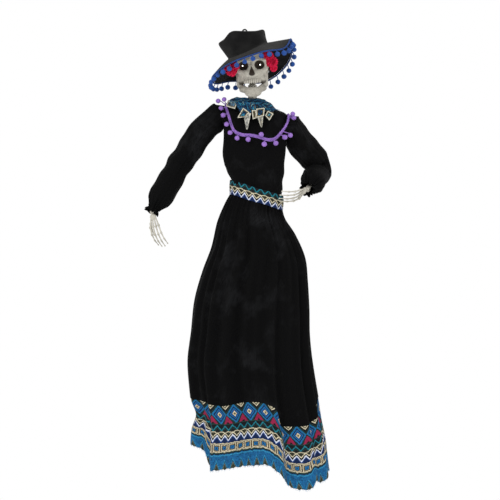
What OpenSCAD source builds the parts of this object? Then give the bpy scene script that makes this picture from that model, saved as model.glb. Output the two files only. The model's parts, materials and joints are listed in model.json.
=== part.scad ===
// Hanging catrina: a dressed, posable skeleton figure that hangs from an eye in the top of its hat.
// Millimetres. The origin is the centre of the hanging eye, +Z is up and the figure faces -Y.

/* [Hanging eye] */
// Radius of the hole that the hook goes through
eye_bore_r = 2.5; // [2:0.5:3]
// Outer radius of the eye
eye_r = 5.5; // [5:0.5:6]
// Thickness of the eye
eye_t = 3; // [2.5:0.5:4]

/* [Skull] */
// Width of the skull
skull_w = 68; // [66:1:70]
// Wall of the moulded skull
skull_wall = 2.5; // [2:0.5:3]
// Sideways lean of the head, in degrees
head_roll = 4; // [3:1:5]

/* [Hat] */
// Radius of the crown where it meets the brim
crown_base_r = 42; // [42:1:43]
// Radius of the crown at its top
crown_top_r = 44.5; // [43:0.5:45]
// Height of the crown
crown_h = 31; // [30:1:32]
// Radius of the brim at its edge
brim_r = 87; // [85:1:88]
// How far the brim droops at its sides
brim_drop = 26; // [24:1:27]
// Sideways lean of the hat, in degrees
hat_roll = 21; // [20:1:22]
// Backward lean of the hat, in degrees
hat_tip = 15; // [14:1:16]
// Number of pompoms round the brim
brim_pompom_count = 33; // [24:1:36]

/* [Pompoms] */
// Radius of a pompom
pompom_r = 4.8; // [4:0.2:5]

/* [Body] */
// Distance from the middle of the chest to each shoulder pivot
shoulder_x = 78; // [77:1:79]
// Slope of the shoulders, in degrees
torso_roll = 9; // [8:1:10]
// Distance from shoulder pivot to elbow
upper_arm_l = 126; // [124:1:128]
// Distance from elbow to wrist
forearm_l = 115; // [113:1:117]

/* [Right arm at rest] */
// Backward swing of the right arm, in degrees
right_swing = 2; // [0:1:4]
// Outward lift of the right arm, in degrees
right_lift = 27; // [26:1:30]
// Direction that the right elbow bends in, in degrees
right_elbow_turn = 23; // [20:1:26]
// Bend of the right elbow, in degrees
right_elbow_bend = 14; // [10:1:18]
// Direction that the right wrist bends in, in degrees
right_wrist_turn = 62; // [58:1:66]
// Bend of the right wrist, in degrees
right_wrist_bend = 42; // [38:1:44]

/* [Left arm at rest] */
// Backward swing of the left arm, in degrees
left_swing = 45; // [43:1:47]
// Outward lift of the left arm, in degrees
left_lift = 36; // [34:1:38]
// Direction that the left elbow bends in, in degrees
left_elbow_turn = -2; // [-4:1:0]
// Bend of the left elbow, in degrees
left_elbow_bend = 112; // [108:1:114]
// Direction that the left wrist bends in, in degrees
left_wrist_turn = -58; // [-62:1:-54]
// Bend of the left wrist, in degrees
left_wrist_bend = 18; // [14:1:22]

/* [Skirt] */
// Thickness of the folded cloth of the skirt
skirt_t = 4; // [3:0.5:5]
// Sections from waist to hem seam: height, middle, half width, half depth, side slope
skirt_rings = [
    [-341.8, 23, 49, 34, -0.31],
    [-365, 20, 60, 40, -0.25],
    [-400, 24, 78, 50, -0.2],
    [-450, 27, 93, 58, -0.1],
    [-500, 20, 104, 64, -0.05],
    [-560, 13, 115, 69, 0],
    [-620, 11, 119, 73, -0.05],
    [-680, 8, 127, 78, -0.12],
    [-757, 20, 132, 84, -0.2]
];
// Sections of the printed band from the hem seam down
hem_rings = [
    [-757.4, 20, 132.2, 84.2, -0.2],
    [-800, 28, 131, 86, -0.2],
    [-845, 28, 136, 88, -0.17],
    [-893, 30, 138, 90, -0.15]
];

/* [Hidden] */
$fn = 48;

bone = "#b9b2a0";
cloth_black = "#151515";
trim_blue = "#1f4fb8";
trim_purple = "#8a63c0";
print_blue = "#2b79a8";
rose_red = "#d01f3c";

// Radial play of every running pin in its hole
play = 0.05;

skull_at = [12.5, -8, -58];
crown_top_at = [-3.6, 0, -12];
neck_at = [15.5, 2];
neck_socket_z = -97;
nod_z = -146;
torso_at = [22, 0, -178];
shoulder_z = 5;
belt_slope = -0.31;
belt_top_z = -313.5;
belt_h = 27.5;
shoulder_pin_r = 2;
elbow_pin_r = 1.5;
wrist_pin_r = 1;
nod_pin_r = 2;
jaw_pin_r = 1.5;
socket_x = 17.5;
socket_z = -11;
socket_r = 8.5;
torso_wall = 2.5;
// The chest leans towards its left below the shoulders
rib_lean = 13;
waist_lean = 22;
sleeve_t = 2.2;

// Centre line of the purple trim, from the right shoulder down the front and round the back
neckline = [
    [-37, 0, -146], [-35, -16, -157], [-30, -27, -175], [-22, -35, -193], [-6, -41, -205],
    [14, -43, -208], [34, -43, -213], [52, -40, -217], [68, -35, -209], [80, -28, -192],
    [87, -16, -174], [87, 0, -163], [80, 17, -171], [66, 29, -189], [42, 34, -203],
    [12, 34, -203], [-12, 30, -190], [-30, 18, -165]
];
neckline_centre = [22, 0, -150];

function unit(v) = v / norm(v);
function flatten(rows) = [for (row = rows) each row];

// Ring of n points round a path point, facing along t
function section(c, t, ref, r, n) =
    let (a = unit(cross(t, ref)), b = cross(unit(t), a))
    [for (k = [0:n - 1]) c + r * (cos(360 * k / n) * a + sin(360 * k / n) * b)];

// Oval ring that slopes sideways
function oval(ring, grow, n) = [
    for (k = [0:n - 1])
        let (x = (ring[2] + grow) * cos(360 * k / n))
        [ring[1] + x, (ring[3] + grow) * sin(360 * k / n), ring[0] + ring[4] * x]
];

// Closed curve through a loop of points
function curve_point(p, i, t) =
    let (n = len(p), a = p[(i + n - 1) % n], b = p[i], c = p[(i + 1) % n], d = p[(i + 2) % n])
    0.5 * (2 * b + t * (c - a) + t * t * (2 * a - 5 * b + 4 * c - d)
        + t * t * t * (3 * b - a - 3 * c + d));
function smooth_loop(p, steps) =
    [for (i = [0:len(p) - 1], s = [0:steps - 1]) curve_point(p, i, s / steps)];

// Solid from stacked rings, closed at both ends
module stack(rings) {
    n = len(rings[0]);
    m = len(rings);
    sides = [
        for (i = [0:m - 2], j = [0:n - 1])
            [i * n + j, (i + 1) * n + j, (i + 1) * n + (j + 1) % n, i * n + (j + 1) % n]
    ];
    bottom = [for (j = [0:n - 1]) j];
    top = [for (j = [0:n - 1]) m * n - 1 - j];
    polyhedron(flatten(rings), concat(sides, [bottom], [top]));
}

// Grid of rings that closes on itself both ways
module ring_solid(rings) {
    n = len(rings[0]);
    m = len(rings);
    faces = [
        for (i = [0:m - 1], j = [0:n - 1])
            let (k = (i + 1) % m, l = (j + 1) % n)
            [i * n + j, k * n + j, k * n + l, i * n + l]
    ];
    polyhedron(flatten(rings), faces);
}

// Tube along a closed path
module loop_tube(path, r, n, centre) {
    m = len(path);
    ring_solid([
        for (i = [0:m - 1])
            section(path[i], path[(i + 1) % m] - path[(i + m - 1) % m], path[i] - centre, r, n)
    ]);
}

// Tapering tube along an open path
module path_tube(path, radii, n, ref) {
    m = len(path);
    stack([
        for (i = [0:m - 1])
            section(path[i], path[min(i + 1, m - 1)] - path[max(i - 1, 0)], ref, radii[i], n)
    ]);
}

// Cloth wall between two stacks of rings that run from the bottom up
module wall(outer, inner) {
    m = len(outer);
    n = len(outer[0]);
    ring_solid([
        for (j = [0:2 * m - 1])
            let (ring = j < m ? outer[j] : inner[2 * m - 1 - j])
            [for (k = [0:n - 1]) ring[k]]
    ]);
}

module garment(rings, t, n) {
    m = len(rings);
    outer = [for (i = [0:m - 1]) oval(rings[m - 1 - i], 0, n)];
    inner = [for (i = [0:m - 1]) oval(rings[m - 1 - i], -t, n)];
    wall(outer, inner);
}

module x_rod(r, from, to) {
    translate([from, 0, 0]) rotate([0, 90, 0]) cylinder(r = r, h = to - from);
}

module y_rod(r, from, to) {
    translate([0, to, 0]) rotate([90, 0, 0]) cylinder(r = r, h = to - from);
}

module box(x0, x1, y0, y1, z0, z1) {
    translate([x0, y0, z0]) cube([x1 - x0, y1 - y0, z1 - z0]);
}

// ---------- Head ----------

module skull_frame() {
    translate(skull_at) rotate([0, -head_roll, 0]) children();
}

module cranium(grow) {
    hull() {
        translate([0, -6, 2]) sphere(r = skull_w / 2 + grow, $fn = 32);
        translate([0, 8, 0]) sphere(r = skull_w / 2 - 1 + grow, $fn = 32);
    }
}

module face(grow) {
    hull() {
        for (s = [-1, 1]) {
            translate([s * 16, -30, 2]) sphere(r = 10 + grow, $fn = 20);
            translate([s * 22, -24, -18]) sphere(r = 12 + grow, $fn = 20);
            translate([s * 10, -32, -34]) sphere(r = 9.5 + grow, $fn = 20);
        }
    }
}

module eye_stem_hole() {
    translate([0, 0, -40]) cylinder(r = 2.6, h = 38);
}

module hanging_eye() {
    color("dimgray") difference() {
        union() {
            y_rod(eye_r, -eye_t / 2, eye_t / 2);
            translate([0, 0, -38]) cylinder(r = 2.5, h = 34);
        }
        y_rod(eye_bore_r, -eye_t, eye_t);
    }
}

module eye_nut() {
    color("silver") difference() {
        translate([0, 0, -36.2]) cylinder(r = 4.6, h = 4, $fn = 6);
        translate([0, 0, -40]) cylinder(r = 2.52, h = 12);
    }
}

module skull_face() {
    color(bone) difference() {
        skull_frame() difference() {
            union() {
                cranium(0);
                face(0);
            }
            cranium(-skull_wall);
            face(-skull_wall);
            box(-60, 60, 0, 60, -80, 60);
            for (s = [-1, 1])
                translate([s * socket_x, 0, socket_z]) y_rod(socket_r, -60, -20);
            translate([0, 0, -24]) y_rod(5, -60, -30);
            translate([0, -2, -24]) x_rod(jaw_pin_r + 0.02, -50, 50);
        }
        eye_stem_hole();
    }
}

module skull_back() {
    color(bone) difference() {
        union() {
            skull_frame() difference() {
                cranium(0);
                cranium(-skull_wall);
                box(-60, 60, -80, 0, -80, 60);
            }
            translate([0, 0, -32]) intersection() {
                cylinder(r = 7, h = 5);
                box(-10, 10, -7.8, 10, 0, 5);
            }
            translate([neck_at.x, neck_at.y, neck_socket_z]) intersection() {
                cylinder(r = 10, h = 14);
                box(-12, 12, -9.8, 12, 0, 14);
            }
        }
        eye_stem_hole();
        translate([neck_at.x, neck_at.y, neck_socket_z - 2]) cylinder(r = 5 + play, h = 26);
        skull_frame() {
            box(-16, 16, 25, 50, -22, 4);
            box(-3.7, 5.7, 17, 22.2, -29.2, -24.8);
            box(-2.7, 4.7, 20, 44, -28.3, -25.7);
        }
    }
}

module skull_screws() {
    color("dimgray") skull_frame() for (s = [-1, 1])
        translate([s * 27, 0, 9]) {
            y_rod(1.5, 4, 9);
            y_rod(2.6, 2, 4);
        }
}

module led_eyes() {
    color("white") skull_frame() for (s = [-1, 1])
        translate([s * socket_x, -24.2, socket_z]) {
            y_rod(2.5, -6, 0);
            translate([0, -6, 0]) sphere(r = 2.5);
        }
}

module led_carrier() {
    color("darkgreen") skull_frame()
        box(-24, 24, -24, -22.4, socket_z - 4, socket_z + 4);
}

module battery_holder() {
    color("black") skull_frame() difference() {
        box(-14, 14, 12, 27.5, -20, 2);
        box(-12.5, 12.5, 14, 28, -18.5, 0.5);
    }
}

module button_cells() {
    color("silver") skull_frame() for (i = [-1, 0, 1])
        translate([i * 8, 0, -9]) {
            y_rod(3.6, 14.2, 25);
        }
}

module battery_door() {
    color(bone) skull_frame() box(-15.8, 15.8, 28.1, 30.1, -21.8, 3.8);
}

module led_leads() {
    color("red") skull_frame() for (s = [-1, 1])
        path_tube([
            [s * 18, -22.2, -10], [s * 19, -16, -8], [s * 17, -8, -4],
            [s * 12, 0, -5], [s * 8, 8, -8], [s * 6, 11, -10]
        ], [0.7, 0.7, 0.7, 0.7, 0.7, 0.7], 8, [0, 0, 1]);
}

module power_switch() {
    color("black") skull_frame() {
        box(-2.4, 2.4, 21.9, 29.5, -28, -26);
        box(-3.4, 3.4, 19.5, 22, -28.8, -25.2);
    }
}

// ---------- Hat ----------

hat_up = [-sin(hat_roll) * cos(hat_tip), sin(hat_tip), cos(hat_roll) * cos(hat_tip)];
hat_at = crown_top_at - crown_h * hat_up;

module hat_frame() {
    translate(hat_at) rotate([-hat_tip, -hat_roll, 0]) children();
}

module hat_crown() {
    color(cloth_black) difference() {
        hat_frame() rotate_extrude() polygon([
            [0, crown_h - 2], [crown_top_r - 3, crown_h - 2], [crown_top_r - 2, crown_h - 4],
            [crown_base_r - 2, 0], [crown_base_r, 0], [crown_top_r, crown_h - 3],
            [crown_top_r - 2, crown_h], [0, crown_h]
        ]);
        translate([0, 0, -30]) cylinder(r = 2.8, h = 30);
        skull_frame() cranium(0.3);
    }
}

// The brim droops at its sides, a little more in front and most behind
function brim_z(r, a) =
    let (s = (r - crown_base_r) / (brim_r - crown_base_r))
    -(brim_drop + sin(a) * sin(a) * (13 + 5 * sin(a))) * pow(s, 1.15);
function brim_point(r, a, lift) = [r * cos(a), r * sin(a), brim_z(r, a) + lift];

module hat_brim() {
    steps = 6;
    n = 48;
    brim_t = 2;
    radii = [for (i = [0:steps]) crown_base_r + 0.2 + (brim_r - crown_base_r - 0.2) * i / steps];
    under = [for (i = [0:steps]) [for (k = [0:n - 1]) brim_point(radii[i], 360 * k / n, -brim_t)]];
    over = [for (i = [0:steps]) [for (k = [0:n - 1]) brim_point(radii[steps - i], 360 * k / n, 0)]];
    color(cloth_black) difference() {
        hat_frame() ring_solid(concat(under, over));
        skull_frame() cranium(0.3);
    }
}

module brim_cord() {
    path = [for (k = [0:63]) brim_point(brim_r + 2.3, 360 * k / 64, -1)];
    color(trim_blue) hat_frame() loop_tube(path, 2, 8, [0, 0, 200]);
}

// A point of the hat, placed in the frame of the whole figure
function tipped(p) = [
    p.x,
    p.y * cos(hat_tip) + p.z * sin(hat_tip),
    -p.y * sin(hat_tip) + p.z * cos(hat_tip)
];
function hat_to_world(p) =
    let (q = tipped(p))
    hat_at + [
        q.x * cos(hat_roll) - q.z * sin(hat_roll),
        q.y,
        q.x * sin(hat_roll) + q.z * cos(hat_roll)
    ];

module brim_pompoms() {
    color(trim_blue) for (k = [0:brim_pompom_count - 1]) {
        edge = hat_to_world(brim_point(brim_r + 2.3, 360 * k / brim_pompom_count, -3.6));
        out = unit([edge.x - hat_at.x, edge.y - hat_at.y, 0]);
        ball = edge + 3 * out + [0, 0, -10];
        translate(ball) sphere(r = pompom_r);
        translate(ball + [0, 0, pompom_r - 0.4]) cylinder(r = 0.8, h = 4);
    }
}

module rose(r) {
    rotate_extrude() polygon([
        [0, 0], [r * 0.55, 0], [r, r * 0.22], [r * 0.98, r * 0.42], [r * 0.7, r * 0.55],
        [r * 0.45, r * 0.72], [0, r * 0.78]
    ]);
}

// Turns the Z axis of a flower to face forward, and a little to one side
module faced(at, side) {
    translate(at) rotate([90, 0, 0]) rotate([0, side, 0]) children();
}

module right_flower() {
    color(rose_red) faced([-27, -42, -76], -22) rose(14.5);
}

module left_flower() {
    color(rose_red) faced([54, -33, -58], 24) {
        translate([0, 7, 0]) rose(12.5);
        translate([1, -8, 0]) rose(12.5);
    }
}

// ---------- Jaw ----------

module jaw() {
    color(bone) skull_frame() difference() {
        union() {
            for (s = [-1, 1]) {
                hull() {
                    translate([s * 28.6, -2, -24]) sphere(r = 4, $fn = 16);
                    translate([s * 25, -6, -49]) sphere(r = 4.5, $fn = 16);
                }
                hull() {
                    translate([s * 25, -6, -49]) sphere(r = 4.5, $fn = 16);
                    translate([s * 10, -32, -64]) sphere(r = 7, $fn = 16);
                }
                translate([s * 28.6, -2, -24]) x_rod(4.2, -2.4, 2.4);
            }
            hull() for (s = [-1, 1]) {
                translate([s * 10, -32, -64]) sphere(r = 7, $fn = 16);
                translate([s * 8, -33, -58]) sphere(r = 6, $fn = 16);
            }
        }
        translate([0, -2, -24]) x_rod(jaw_pin_r + play, -50, 50);
    }
}

module jaw_pins() {
    color("dimgray") skull_frame() translate([0, -2, -24]) for (s = [0, 1]) mirror([s, 0, 0]) {
        x_rod(jaw_pin_r, 22, 33);
        x_rod(2.6, 33.2, 34.4);
        x_rod(jaw_pin_r, 32.8, 33.4);
    }
}

// ---------- Neck ----------

module neck_post() {
    color(bone) translate([neck_at.x, neck_at.y, 0]) difference() {
        union() {
            translate([0, 0, neck_socket_z - 1]) cylinder(r = 5, h = 18.5);
            translate([0, 0, -137]) cylinder(r = 6.5, h = 38.8);
            for (i = [0:4])
                translate([0, 0, -134 + i * 7.6]) cylinder(r = 9, h = 4);
            translate([0, 0, nod_z]) x_rod(6.5, -4.5, 4.5);
            box(-4.5, 4.5, -5.5, 5.5, nod_z, -136);
        }
        translate([0, 0, nod_z]) x_rod(nod_pin_r + play, -10, 10);
    }
}

module neck_clip() {
    color("silver") translate([neck_at.x, neck_at.y, neck_socket_z + 14.4]) difference() {
        cylinder(r = 7.5, h = 1.5);
        translate([0, 0, -1]) cylinder(r = 5.02, h = 4);
    }
}

module nod_pin() {
    color("silver") translate([neck_at.x, neck_at.y, nod_z]) x_rod(nod_pin_r, -9.5, 9.5);
}

// ---------- Torso ----------

module torso_frame() {
    translate(torso_at) rotate([0, torso_roll, 0]) children();
}

module ribs(grow) {
    hull() {
        for (s = [-1, 1]) {
            translate([s * 43, 0, shoulder_z]) sphere(r = 17 + grow, $fn = 24);
            translate([rib_lean + s * 28, 0, -84]) sphere(r = 24 + grow, $fn = 24);
        }
        translate([rib_lean / 2, -5, -32]) sphere(r = 29 + grow, $fn = 28);
    }
}

module neck_collar() {
    color(bone) translate([neck_at.x, neck_at.y, 0]) difference() {
        union() {
            translate([0, 0, -168]) cylinder(r = 13, h = 14);
            for (s = [0, 1]) mirror([s, 0, 0]) {
                box(4.8, 9.5, -6.5, 6.5, -156, nod_z);
                translate([0, 0, nod_z]) x_rod(6.5, 4.8, 9.5);
            }
        }
        translate([0, 0, nod_z]) x_rod(nod_pin_r + 0.02, -20, 20);
    }
}

module at_torso_screws() {
    for (s = [-1, 1]) {
        translate([s * 38, 0, -22]) children();
        translate([rib_lean + s * 24, 0, -74]) children();
    }
}

module torso_shell() {
    difference() {
        torso_frame() difference() {
            union() {
                difference() {
                    ribs(0);
                    ribs(-torso_wall);
                }
                intersection() {
                    ribs(-1);
                    at_torso_screws() y_rod(5.5, -60, 60);
                }
            }
            translate([0, 0, shoulder_z]) x_rod(4 + play, -70, 70);
            at_torso_screws() {
                y_rod(2.02, -10.5, 1);
                y_rod(2.3, 0, 9);
                y_rod(4, 8, 60);
            }
        }
        translate([neck_at.x, neck_at.y, -175]) cylinder(r = 13.05, h = 30);
        translate([23, 0, -300]) cylinder(r = 7.05, h = 40);
    }
}

module torso_front() {
    color(bone) intersection() {
        torso_shell();
        box(-80, 120, -80, 0, -320, -120);
    }
}

module torso_back() {
    color(bone) intersection() {
        torso_shell();
        box(-80, 120, 0, 80, -320, -120);
    }
}

module torso_screws() {
    color("dimgray") torso_frame() at_torso_screws() {
        y_rod(2, -10, 8.1);
        y_rod(3.6, 8, 10.5);
    }
}

module hip_form() {
    color(bone) difference() {
        union() {
            hull() for (s = [-1, 1], z = [-332, -350])
                translate([23 + s * 19, 0, z]) sphere(r = 24, $fn = 24);
            translate([23, 0, -315]) cylinder(r = 7, h = 40);
        }
        for (s = [-1, 1]) translate([23 + s * 19, 0, -380]) cylinder(r = 20, h = 57);
        box(4, 42, -20, 20, -380, -323);
    }
}

module bodice_form(grow) {
    hull() {
        for (s = [-1, 1]) {
            translate([s * 43, 0, shoulder_z]) sphere(r = 17 + grow, $fn = 24);
            translate([rib_lean + s * 30, 0, -84]) sphere(r = 26 + grow, $fn = 24);
            translate([waist_lean + s * 16, 0, -140]) sphere(r = 30 + grow, $fn = 24);
        }
        translate([rib_lean / 2, -5, -32]) sphere(r = 29 + grow, $fn = 28);
    }
}

module bodice() {
    color(cloth_black) difference() {
        torso_frame() difference() {
            bodice_form(3.8);
            bodice_form(1.3);
            for (s = [-1, 1]) translate([s * shoulder_x, 0, shoulder_z]) sphere(r = 25);
        }
        translate([neck_at.x, neck_at.y, -190]) cylinder(r = 17, h = 60);
        translate([23, 0, belt_top_z + 0.5]) rotate([0, atan(-belt_slope), 0])
            box(-120, 120, -80, 80, -80, 0);
        loop_tube(smooth_loop(neckline, 4), 2.85, 8, neckline_centre);
        loop_tube(scarf_path(), 6.55, 10, [17, -2, -147]);
    }
}

module neckline_cord() {
    color(trim_purple) loop_tube(smooth_loop(neckline, 4), 2.8, 8, neckline_centre);
}

module neckline_pompoms() {
    loop = smooth_loop(neckline, 3);
    color(trim_purple) for (i = [0:2:len(loop) - 1]) {
        out = unit([loop[i].x - neckline_centre.x, 0, loop[i].z - neckline_centre.z]);
        // the ones on the right shoulder stand up, clear of the turning yoke
        rise = loop[i].x < -33 && abs(loop[i].y) < 14 ? 9 : 1;
        translate(loop[i] + 9 * out + [0, loop[i].y < 0 ? -1.6 : 1.6, rise]) sphere(r = pompom_r - 0.3);
    }
}

function scarf_path() = [
    for (k = [0:39])
        let (a = 360 * k / 40)
        [17 + 46 * cos(a), -2 + 28 * sin(a), -147 - 0.19 * 46 * cos(a)]
];

module scarf() {
    knot_at = [16.5, -38, -150];
    color(print_blue) {
        loop_tube(scarf_path(), 6.5, 10, [17, -2, -147]);
        translate(knot_at) sphere(r = 7);
    }
}

module scarf_tails() {
    color(print_blue) translate([0, -42, 0]) rotate([90, 0, 0]) linear_extrude(2.4) {
        polygon([[8, -158], [13, -160], [5, -196], [-8, -176], [-13, -162]]);
        polygon([[17, -159], [28, -157], [35, -192], [22, -176]]);
        polygon([[32, -158], [41, -156], [56, -166], [46, -183]]);
    }
}

module belt() {
    rings = [
        [belt_top_z, 24, 52, 36, belt_slope],
        [belt_top_z - belt_h, 23, 51.5, 37, belt_slope]
    ];
    color(print_blue) garment(rings, 3, 48);
}

module skirt() {
    color(cloth_black) garment(skirt_rings, skirt_t, 48);
}

module hem_band() {
    color(print_blue) garment(hem_rings, skirt_t, 48);
}

// ---------- Arms ----------
// side is -1 for the right arm and 1 for the left arm.
// pose holds swing, lift, elbow turn, elbow bend, wrist turn and wrist bend.

right_pose = [
    right_swing, right_lift, right_elbow_turn, right_elbow_bend, right_wrist_turn, right_wrist_bend
];
left_pose = [
    left_swing, -left_lift, left_elbow_turn, left_elbow_bend, left_wrist_turn, left_wrist_bend
];

module yoke_frame(side, pose) {
    torso_frame() translate([side * shoulder_x, 0, shoulder_z]) rotate([pose[0], 0, 0]) children();
}

module upper_arm_frame(side, pose) {
    yoke_frame(side, pose) rotate([0, pose[1], 0]) children();
}

module forearm_frame(side, pose) {
    upper_arm_frame(side, pose) translate([0, 0, -upper_arm_l])
        rotate([0, 0, pose[2]]) rotate([-pose[3], 0, 0]) children();
}

module hand_frame(side, pose) {
    forearm_frame(side, pose) translate([0, 0, -forearm_l])
        rotate([0, 0, pose[4]]) rotate([-pose[5], 0, 0]) children();
}

module yoke(side) {
    color(bone) mirror([side > 0 ? 1 : 0, 0, 0]) difference() {
        union() {
            x_rod(4, 14, 25);
            x_rod(7, 23.2, 25.2);
            x_rod(9, 13.5, 17.4);
            for (s = [0, 1]) mirror([0, s, 0]) {
                y_rod(7.5, 4.3, 8.3);
                box(0, 14, 4.3, 8.3, -7.5, 7.5);
            }
            box(10, 14, -8.3, 8.3, -7.5, 7.5);
        }
        y_rod(shoulder_pin_r + 0.02, -20, 20);
    }
}

module shoulder_pin() {
    color("silver") y_rod(shoulder_pin_r, -8.5, 8.5);
}

module upper_arm(turn) {
    color(bone) difference() {
        union() {
            y_rod(7, -4, 4);
            translate([0, 0, -upper_arm_l + 12]) cylinder(r = 4, h = upper_arm_l - 16);
            rotate([0, 0, turn]) translate([0, 0, -upper_arm_l]) {
                for (s = [0, 1]) mirror([s, 0, 0]) {
                    x_rod(6, 3.2, 6.2);
                    box(3.2, 6.2, -6, 6, 0, 13);
                }
                box(-6.2, 6.2, -6, 6, 9, 13);
            }
        }
        y_rod(shoulder_pin_r + play, -10, 10);
        rotate([0, 0, turn]) translate([0, 0, -upper_arm_l]) x_rod(elbow_pin_r + 0.02, -10, 10);
    }
}

module elbow_pin() {
    color("silver") x_rod(elbow_pin_r, -6.4, 6.4);
}

module forearm(turn) {
    color(bone) difference() {
        union() {
            x_rod(5.5, -3, 3);
            box(-3, 3, -4, 4, -14, 0);
            translate([0, 0, -forearm_l + 9]) cylinder(r = 4, h = forearm_l - 21);
            rotate([0, 0, turn]) translate([0, 0, -forearm_l]) {
                for (s = [0, 1]) mirror([s, 0, 0]) {
                    x_rod(4, 2.2, 4.4);
                    box(2.2, 4.4, -4, 4, 0, 10);
                }
                box(-4.4, 4.4, -4, 4, 6, 10);
            }
        }
        x_rod(elbow_pin_r + play, -10, 10);
        rotate([0, 0, turn]) translate([0, 0, -forearm_l]) x_rod(wrist_pin_r + 0.02, -10, 10);
    }
}

module wrist_pin() {
    color("silver") x_rod(wrist_pin_r, -4.6, 4.6);
}

// Palm and fingers; turn sets the palm round the line of the arm, curl bends the fingers
module hand(turn, curl, thumb_side) {
    knuckle_x = [-9.5, -3.2, 3.2, 9.5];
    reach = [0.92, 1, 0.97, 0.85];
    color(bone) difference() {
        union() {
            x_rod(3.6, -2, 2);
            box(-2, 2, -3, 3, -9, 0);
            rotate([0, 0, turn]) {
                hull() {
                    for (s = [-1, 1]) translate([s * 4.5, 0, -10]) sphere(r = 2.4, $fn = 12);
                    for (s = [-1, 1]) translate([s * 9.5, 0, -33]) sphere(r = 2.4, $fn = 12);
                }
                for (i = [0:3])
                    path_tube([
                        [knuckle_x[i], 0, -32],
                        [knuckle_x[i] * 1.1, -2 * curl, -32 - 16 * reach[i]],
                        [knuckle_x[i] * 1.15, -7 * curl, -32 - 29 * reach[i]],
                        [knuckle_x[i] * 1.2, -15 * curl, -32 - 40 * reach[i]]
                    ], [2.4, 2.2, 1.9, 1.4], 8, [1, 0, 0]);
                path_tube([
                    [thumb_side * 5, -1, -13],
                    [thumb_side * 11, -5, -22],
                    [thumb_side * 14, -9 * curl, -33],
                    [thumb_side * 14, -14 * curl, -43]
                ], [2.4, 2.2, 2, 1.5], 8, [0, 1, 0]);
            }
        }
        x_rod(wrist_pin_r + play, -10, 10);
    }
}

module upper_sleeve() {
    far = upper_arm_l;
    color(cloth_black) rotate_extrude() polygon([
        [13, -16], [25, -31], [25, -60], [22.5, -far + 31], [10.5, -far + 15],
        [10.5 - sleeve_t, -far + 15.8], [22.5 - sleeve_t, -far + 32], [25 - sleeve_t, -60],
        [25 - sleeve_t, -32], [13 - sleeve_t, -17]
    ]);
}

module lower_sleeve() {
    far = forearm_l;
    color(cloth_black) rotate_extrude() polygon([
        [10.5, -15], [22.5, -31], [22.5, -65], [19, -far + 34], [13.5, -far + 19],
        [13.5 - sleeve_t, -far + 20], [19 - sleeve_t, -far + 35], [22.5 - sleeve_t, -65],
        [22.5 - sleeve_t, -32], [10.5 - sleeve_t, -16]
    ]);
}

module cuff() {
    color(cloth_black) translate([0, 0, -forearm_l + 8.5]) difference() {
        cylinder(r = 14, h = 10);
        translate([0, 0, -1]) cylinder(r = 10, h = 12);
    }
}

hanging_eye();
eye_nut();
skull_face();
skull_back();
skull_screws();
led_eyes();
led_carrier();
battery_holder();
button_cells();
battery_door();
led_leads();
power_switch();
hat_crown();
hat_brim();
brim_cord();
brim_pompoms();
right_flower();
left_flower();
jaw();
jaw_pins();
neck_post();
neck_clip();
nod_pin();
neck_collar();
torso_front();
torso_back();
torso_screws();
hip_form();
bodice();
neckline_cord();
neckline_pompoms();
scarf();
scarf_tails();
belt();
skirt();
hem_band();
yoke_frame(-1, right_pose) yoke(-1);  // right_yoke
yoke_frame(-1, right_pose) shoulder_pin();  // right_shoulder_pin
upper_arm_frame(-1, right_pose) upper_arm(right_elbow_turn);  // right_upper_arm
upper_arm_frame(-1, right_pose) upper_sleeve();  // right_upper_sleeve
forearm_frame(-1, right_pose) elbow_pin();  // right_elbow_pin
forearm_frame(-1, right_pose) forearm(right_wrist_turn);  // right_forearm
forearm_frame(-1, right_pose) lower_sleeve();  // right_lower_sleeve
forearm_frame(-1, right_pose) cuff();  // right_cuff
hand_frame(-1, right_pose) wrist_pin();  // right_wrist_pin
hand_frame(-1, right_pose) hand(90, 0.6, 1);  // right_hand
yoke_frame(1, left_pose) yoke(1);  // left_yoke
yoke_frame(1, left_pose) shoulder_pin();  // left_shoulder_pin
upper_arm_frame(1, left_pose) upper_arm(left_elbow_turn);  // left_upper_arm
upper_arm_frame(1, left_pose) upper_sleeve();  // left_upper_sleeve
forearm_frame(1, left_pose) elbow_pin();  // left_elbow_pin
forearm_frame(1, left_pose) forearm(left_wrist_turn);  // left_forearm
forearm_frame(1, left_pose) lower_sleeve();  // left_lower_sleeve
forearm_frame(1, left_pose) cuff();  // left_cuff
hand_frame(1, left_pose) wrist_pin();  // left_wrist_pin
hand_frame(1, left_pose) hand(0, 1, -1);  // left_hand
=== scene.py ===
"""Looks of the hanging catrina: skull, hands, hat, roses, dress, prints and pompom trims."""
import json
import math

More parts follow.
